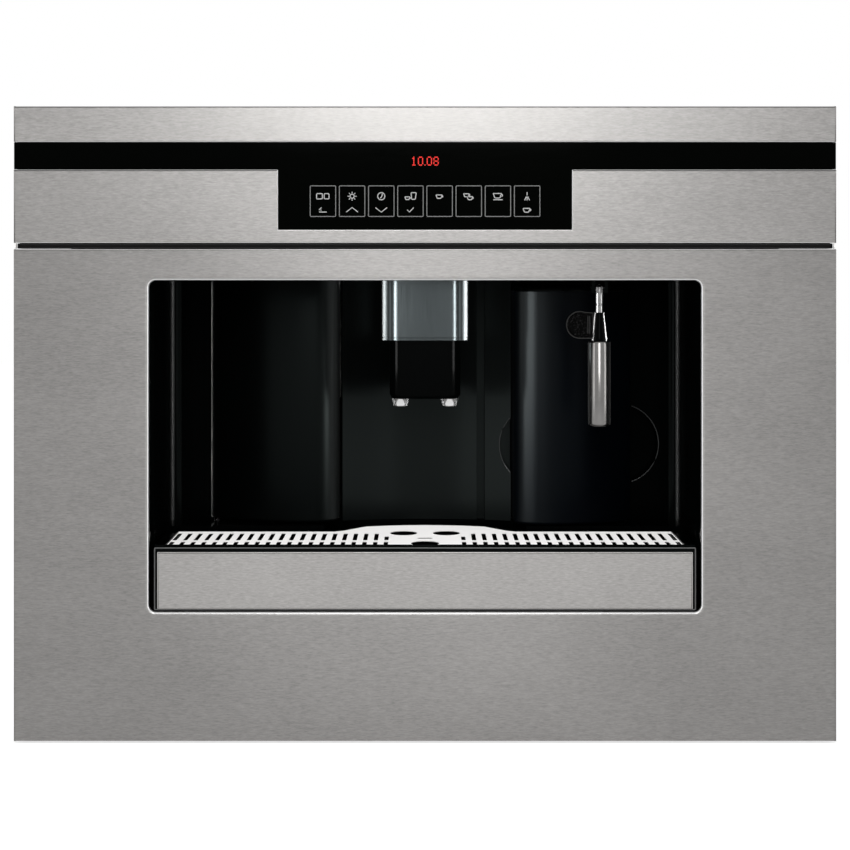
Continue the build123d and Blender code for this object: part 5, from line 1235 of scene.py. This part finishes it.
# By the piece lit, or None for all: lamps as (name, aim (x, depth, z), degrees to the right, degrees
# up, distance, (width, height), watts). The lamps of one piece stand for the reflectors round the
# glossy niche, which mirror in that piece alone.
LAMPS = {
    None: (
        ("key_softbox", (0.0, 0.0, 0.35), 0.0, 19.0, 2.0, (0.52, 0.9), 13.3),
        ("left_softbox", (0.0, 0.0, 0.3), -60.0, 12.0, 2.1, (0.35, 1.4), 5.4),
        ("right_softbox", (0.0, 0.0, 0.3), 60.0, 12.0, 2.1, (0.35, 1.4), 6.2),
    ),
    "service_door_shell": (
        ("door_glow", (-0.075, 0.096, 0.25), 85.0, -4.0, 1.2, (1.6, 0.8), 125.0),
        ("door_soft_glow", (-0.1, 0.096, 0.25), 0.0, -4.0, 1.2, (2.0, 0.8), 7.0),
        ("door_edge_glow", (-0.167, 0.127, 0.25), -150.0, -4.0, 1.0, (0.4, 0.8), 90.0),
    ),
    "water_tank_tub": (
        ("tank_glow", (0.077, 0.096, 0.25), -48.0, -4.0, 1.2, (1.7, 0.8), 195.0),
    ),
    "niche_coves": (
        ("left_cove_glow", (-0.195, 0.135, 0.25), 130.0, -4.0, 0.8, (1.0, 0.8), 170.0),
        ("right_cove_glow", (0.195, 0.135, 0.25), -130.0, -4.0, 0.8, (1.0, 0.8), 170.0),
    ),
    "centre_wall": (
        ("low_glow", (0.0, 0.13, 0.25), 0.0, -9.0, 0.8, (0.5, 0.17), 1.0),
        ("low_left_glow", (0.0, 0.13, 0.25), -32.0, -9.0, 0.8, (0.5, 0.17), 2.0),
        ("low_right_glow", (0.0, 0.13, 0.25), 32.0, -9.0, 0.8, (0.5, 0.17), 1.4),
    ),
    "drip_grille_plate": (
        ("grille_glow", (0.0, 0.06, 0.143), 180.0, 35.0, 0.9, (0.9, 0.4), 9.0),
    ),
    "wand_holder_cone": (
        ("cone_left_glow", (0.129, 0.038, 0.3), -118.0, 0.0, 0.6, (0.3, 0.3), 800.0),
        ("cone_right_glow", (0.129, 0.038, 0.3), 118.0, 0.0, 0.6, (0.3, 0.3), 800.0),
    ),
    "frother_sleeve_brushed": (
        ("sleeve_left_glow", (0.129, 0.038, 0.25), -130.0, 0.0, 0.6, (0.6, 0.5), 1.2),
        ("sleeve_right_glow", (0.129, 0.038, 0.25), 130.0, 0.0, 0.6, (0.6, 0.5), 1.2),
    ),
    "wand_tube_bright": (
        ("tube_left_glow", (0.129, 0.038, 0.31), -80.0, 0.0, 0.9, (0.7, 0.5), 16.0),
        ("tube_right_glow", (0.129, 0.038, 0.31), 80.0, 0.0, 0.9, (0.7, 0.5), 16.0),
    ),
    "spout_outlets": (
        ("outlet_left_glow", (0.0, 0.072, 0.243), -110.0, -22.0, 0.4, (0.5, 0.25), 7.0),
        ("outlet_right_glow", (0.0, 0.072, 0.243), 110.0, -22.0, 0.4, (0.5, 0.25), 7.0),
    ),
    "spout_nose": (
        ("nose_left_glow", (-0.02, 0.06, 0.28), -60.0, -3.0, 0.8, (0.25, 0.4), 9.0),
        ("nose_right_glow", (0.02, 0.06, 0.28), 60.0, -3.0, 0.8, (0.25, 0.4), 9.0),
    ),
    "front_panel_sheet": (
        ("panel_low_glow", (0.0, 0.0, 0.08), 0.0, -3.0, 0.9, (0.4, 0.3), 0.6),
    ),
    "spout_shroud_sleeve": (
        ("lip_glow", (0.0, 0.05, 0.29), 0.0, -44.0, 0.42, (0.5, 0.08), 3.0),
        ("shroud_left_glow", (-0.028, 0.05, 0.32), -115.0, -2.0, 0.8, (0.5, 0.5), 95.0),
        ("shroud_right_glow", (0.028, 0.05, 0.32), 115.0, -2.0, 0.8, (0.5, 0.5), 150.0),
        ("shroud_left_line", (-0.02, 0.045, 0.32), -19.0, -2.0, 1.2, (0.3, 0.7), 34.0),
        ("shroud_right_line", (0.02, 0.045, 0.32), 19.0, -2.0, 1.2, (0.24, 0.7), 24.0),
    ),
}


def new_collection(name, *members):
    collection = bpy.data.collections.new(name)
    for member in members:
        collection.objects.link(member)
    return collection


class COFFEE_OT_studio(Operator):
    """Camera at the photograph's view, pale floor, soft lamps and a pale world"""

    bl_idname = "coffee.studio"
    bl_label = "Studio"

    def execute(self, context):
        self.camera(context.scene)
        self.world(context.scene)
        self.floor(context.scene)
        floor_only = new_collection("floor_only", bpy.data.objects["studio_floor"])
        for piece, lamps in LAMPS.items():
            for lamp in lamps:
                new_lamp = self.lamp(context.scene, *lamp)
                if piece:
                    linking = new_lamp.light_linking
                    lit = bpy.data.objects[piece] if piece in bpy.data.objects else NODES[piece]
                    linking.receiver_collection = new_collection(lamp[0] + "_lit", lit)
                    linking.blocker_collection = floor_only
                    new_lamp.visible_diffuse = False
        context.scene.view_settings.view_transform = "Standard"
        return {"FINISHED"}

    @staticmethod
    def camera(scene):
        data = bpy.data.cameras.new("photo_camera")
        data.sensor_width = SENSOR
        data.lens = SENSOR * FOCAL_PIXELS / PHOTO_SIDE
        data.shift_y = (HORIZON_ROW - PHOTO_SIDE / 2) / PHOTO_SIDE
        camera = bpy.data.objects.new("photo_camera", data)
        camera.location = (0.0, FRONT_Y - EYE_DISTANCE, EYE_HEIGHT)
        camera.rotation_euler = (math.pi / 2, 0.0, 0.0)
        scene.collection.objects.link(camera)
        scene.camera = camera

    @staticmethod
    def seen(graph):
        """1 for rays from the camera, a mirror or through glass, 0 for light that falls on things."""
        camera, glossy, through = (graph.add("ShaderNodeLightPath", output=f"Is {kind} Ray")
                                   for kind in ("Camera", "Glossy", "Transmission"))
        return camera.math("MAXIMUM", camera, glossy.math("MAXIMUM", glossy, through))

    def world(self, scene):
        scene.world = bpy.data.worlds.new("pale_world")
        graph = Graph(scene.world, "Background")
        graph.surface(Color=(1.0, 1.0, 1.0, 1.0), Strength=WORLD_LIGHT + self.seen(graph) * (1 - WORLD_LIGHT))

    def floor(self, scene):
        corners = FLOOR_HALF * np.array([(-1, -1, 0), (1, -1, 0), (1, 1, 0), (-1, 1, 0)], float)
        mesh = bpy.data.meshes.new("studio_floor")
        mesh.from_pydata(corners.tolist(), [], [(0, 1, 2, 3)])
        graph = material_graph("studio_floor")
        speckle = graph.noise((30, 30, 30))
        mesh.materials.append(graph.surface(
            Base_Color=graph.tint(speckle, (0.80, 0.80, 0.80), (0.82, 0.82, 0.82)),
            Roughness=0.9 + speckle * 0.05,
            Specular_IOR_Level=0.1,
            Emission_Color=graph.tint(self.seen(graph), (0, 0, 0), (FLOOR_GLOW,) * 3),
            Emission_Strength=1.0,
        ))
        floor = bpy.data.objects.new("studio_floor", mesh)
        scene.collection.objects.link(floor)

    @staticmethod
    def lamp(scene, name, aim, turn, rise, distance, size, power):
        """A soft lamp, unseen by the camera, that looks at its aim from so many degrees right of
        straight ahead and above the level."""
        data = bpy.data.lights.new(name, "AREA")
        data.shape = "RECTANGLE"
        data.size, data.size_y = size
        data.energy = power
        lamp = bpy.data.objects.new(name, data)
        turn, rise = math.radians(turn), math.radians(rise)
        away = Vector((math.sin(turn) * math.cos(rise), -math.cos(turn) * math.cos(rise), math.sin(rise)))
        lamp.location = Vector((aim[0], FRONT_Y + aim[1], aim[2])) + away * distance
        lamp.rotation_euler = away.to_track_quat("Z", "Y").to_euler()
        lamp.visible_camera = False
        scene.collection.objects.link(lamp)
        return lamp


class COFFEE_PT_machine(Panel):
    """Sidebar panel with every step and the values that a user may change"""

    bl_label = "Coffee Machine"
    bl_idname = "COFFEE_PT_machine"
    bl_space_type = "VIEW_3D"
    bl_region_type = "UI"
    bl_category = "Coffee Machine"

    def draw(self, context):
        for step in STEPS:
            self.layout.operator(step.bl_idname)
        for group in (context.scene.coffee_machine_sizes, context.scene.coffee_machine_colors):
            for name in group.__annotations__:
                self.layout.prop(group, name)


STEPS = (
    COFFEE_OT_finishes,
    COFFEE_OT_front_sheets,
    COFFEE_OT_gap_strip,
    COFFEE_OT_display,
    COFFEE_OT_niche_fronts,
    COFFEE_OT_spout,
    COFFEE_OT_steam_wand,
    COFFEE_OT_drip_grille,
    COFFEE_OT_eased_edges,
    COFFEE_OT_studio,
)


def register():
    for cls in (CoffeeMachineSizes, CoffeeMachineColors, *STEPS, COFFEE_PT_machine):
        bpy.utils.register_class(cls)
    bpy.types.Scene.coffee_machine_sizes = PointerProperty(type=CoffeeMachineSizes)
    bpy.types.Scene.coffee_machine_colors = PointerProperty(type=CoffeeMachineColors)


def unregister():
    del bpy.types.Scene.coffee_machine_sizes
    del bpy.types.Scene.coffee_machine_colors
    for cls in (COFFEE_PT_machine, *reversed(STEPS), CoffeeMachineColors, CoffeeMachineSizes):
        bpy.utils.unregister_class(cls)


def main():
    register()
    for step in STEPS:
        family, _, name = step.bl_idname.partition(".")
        getattr(getattr(bpy.ops, family), name)()


if __name__ == "__main__":
    main()
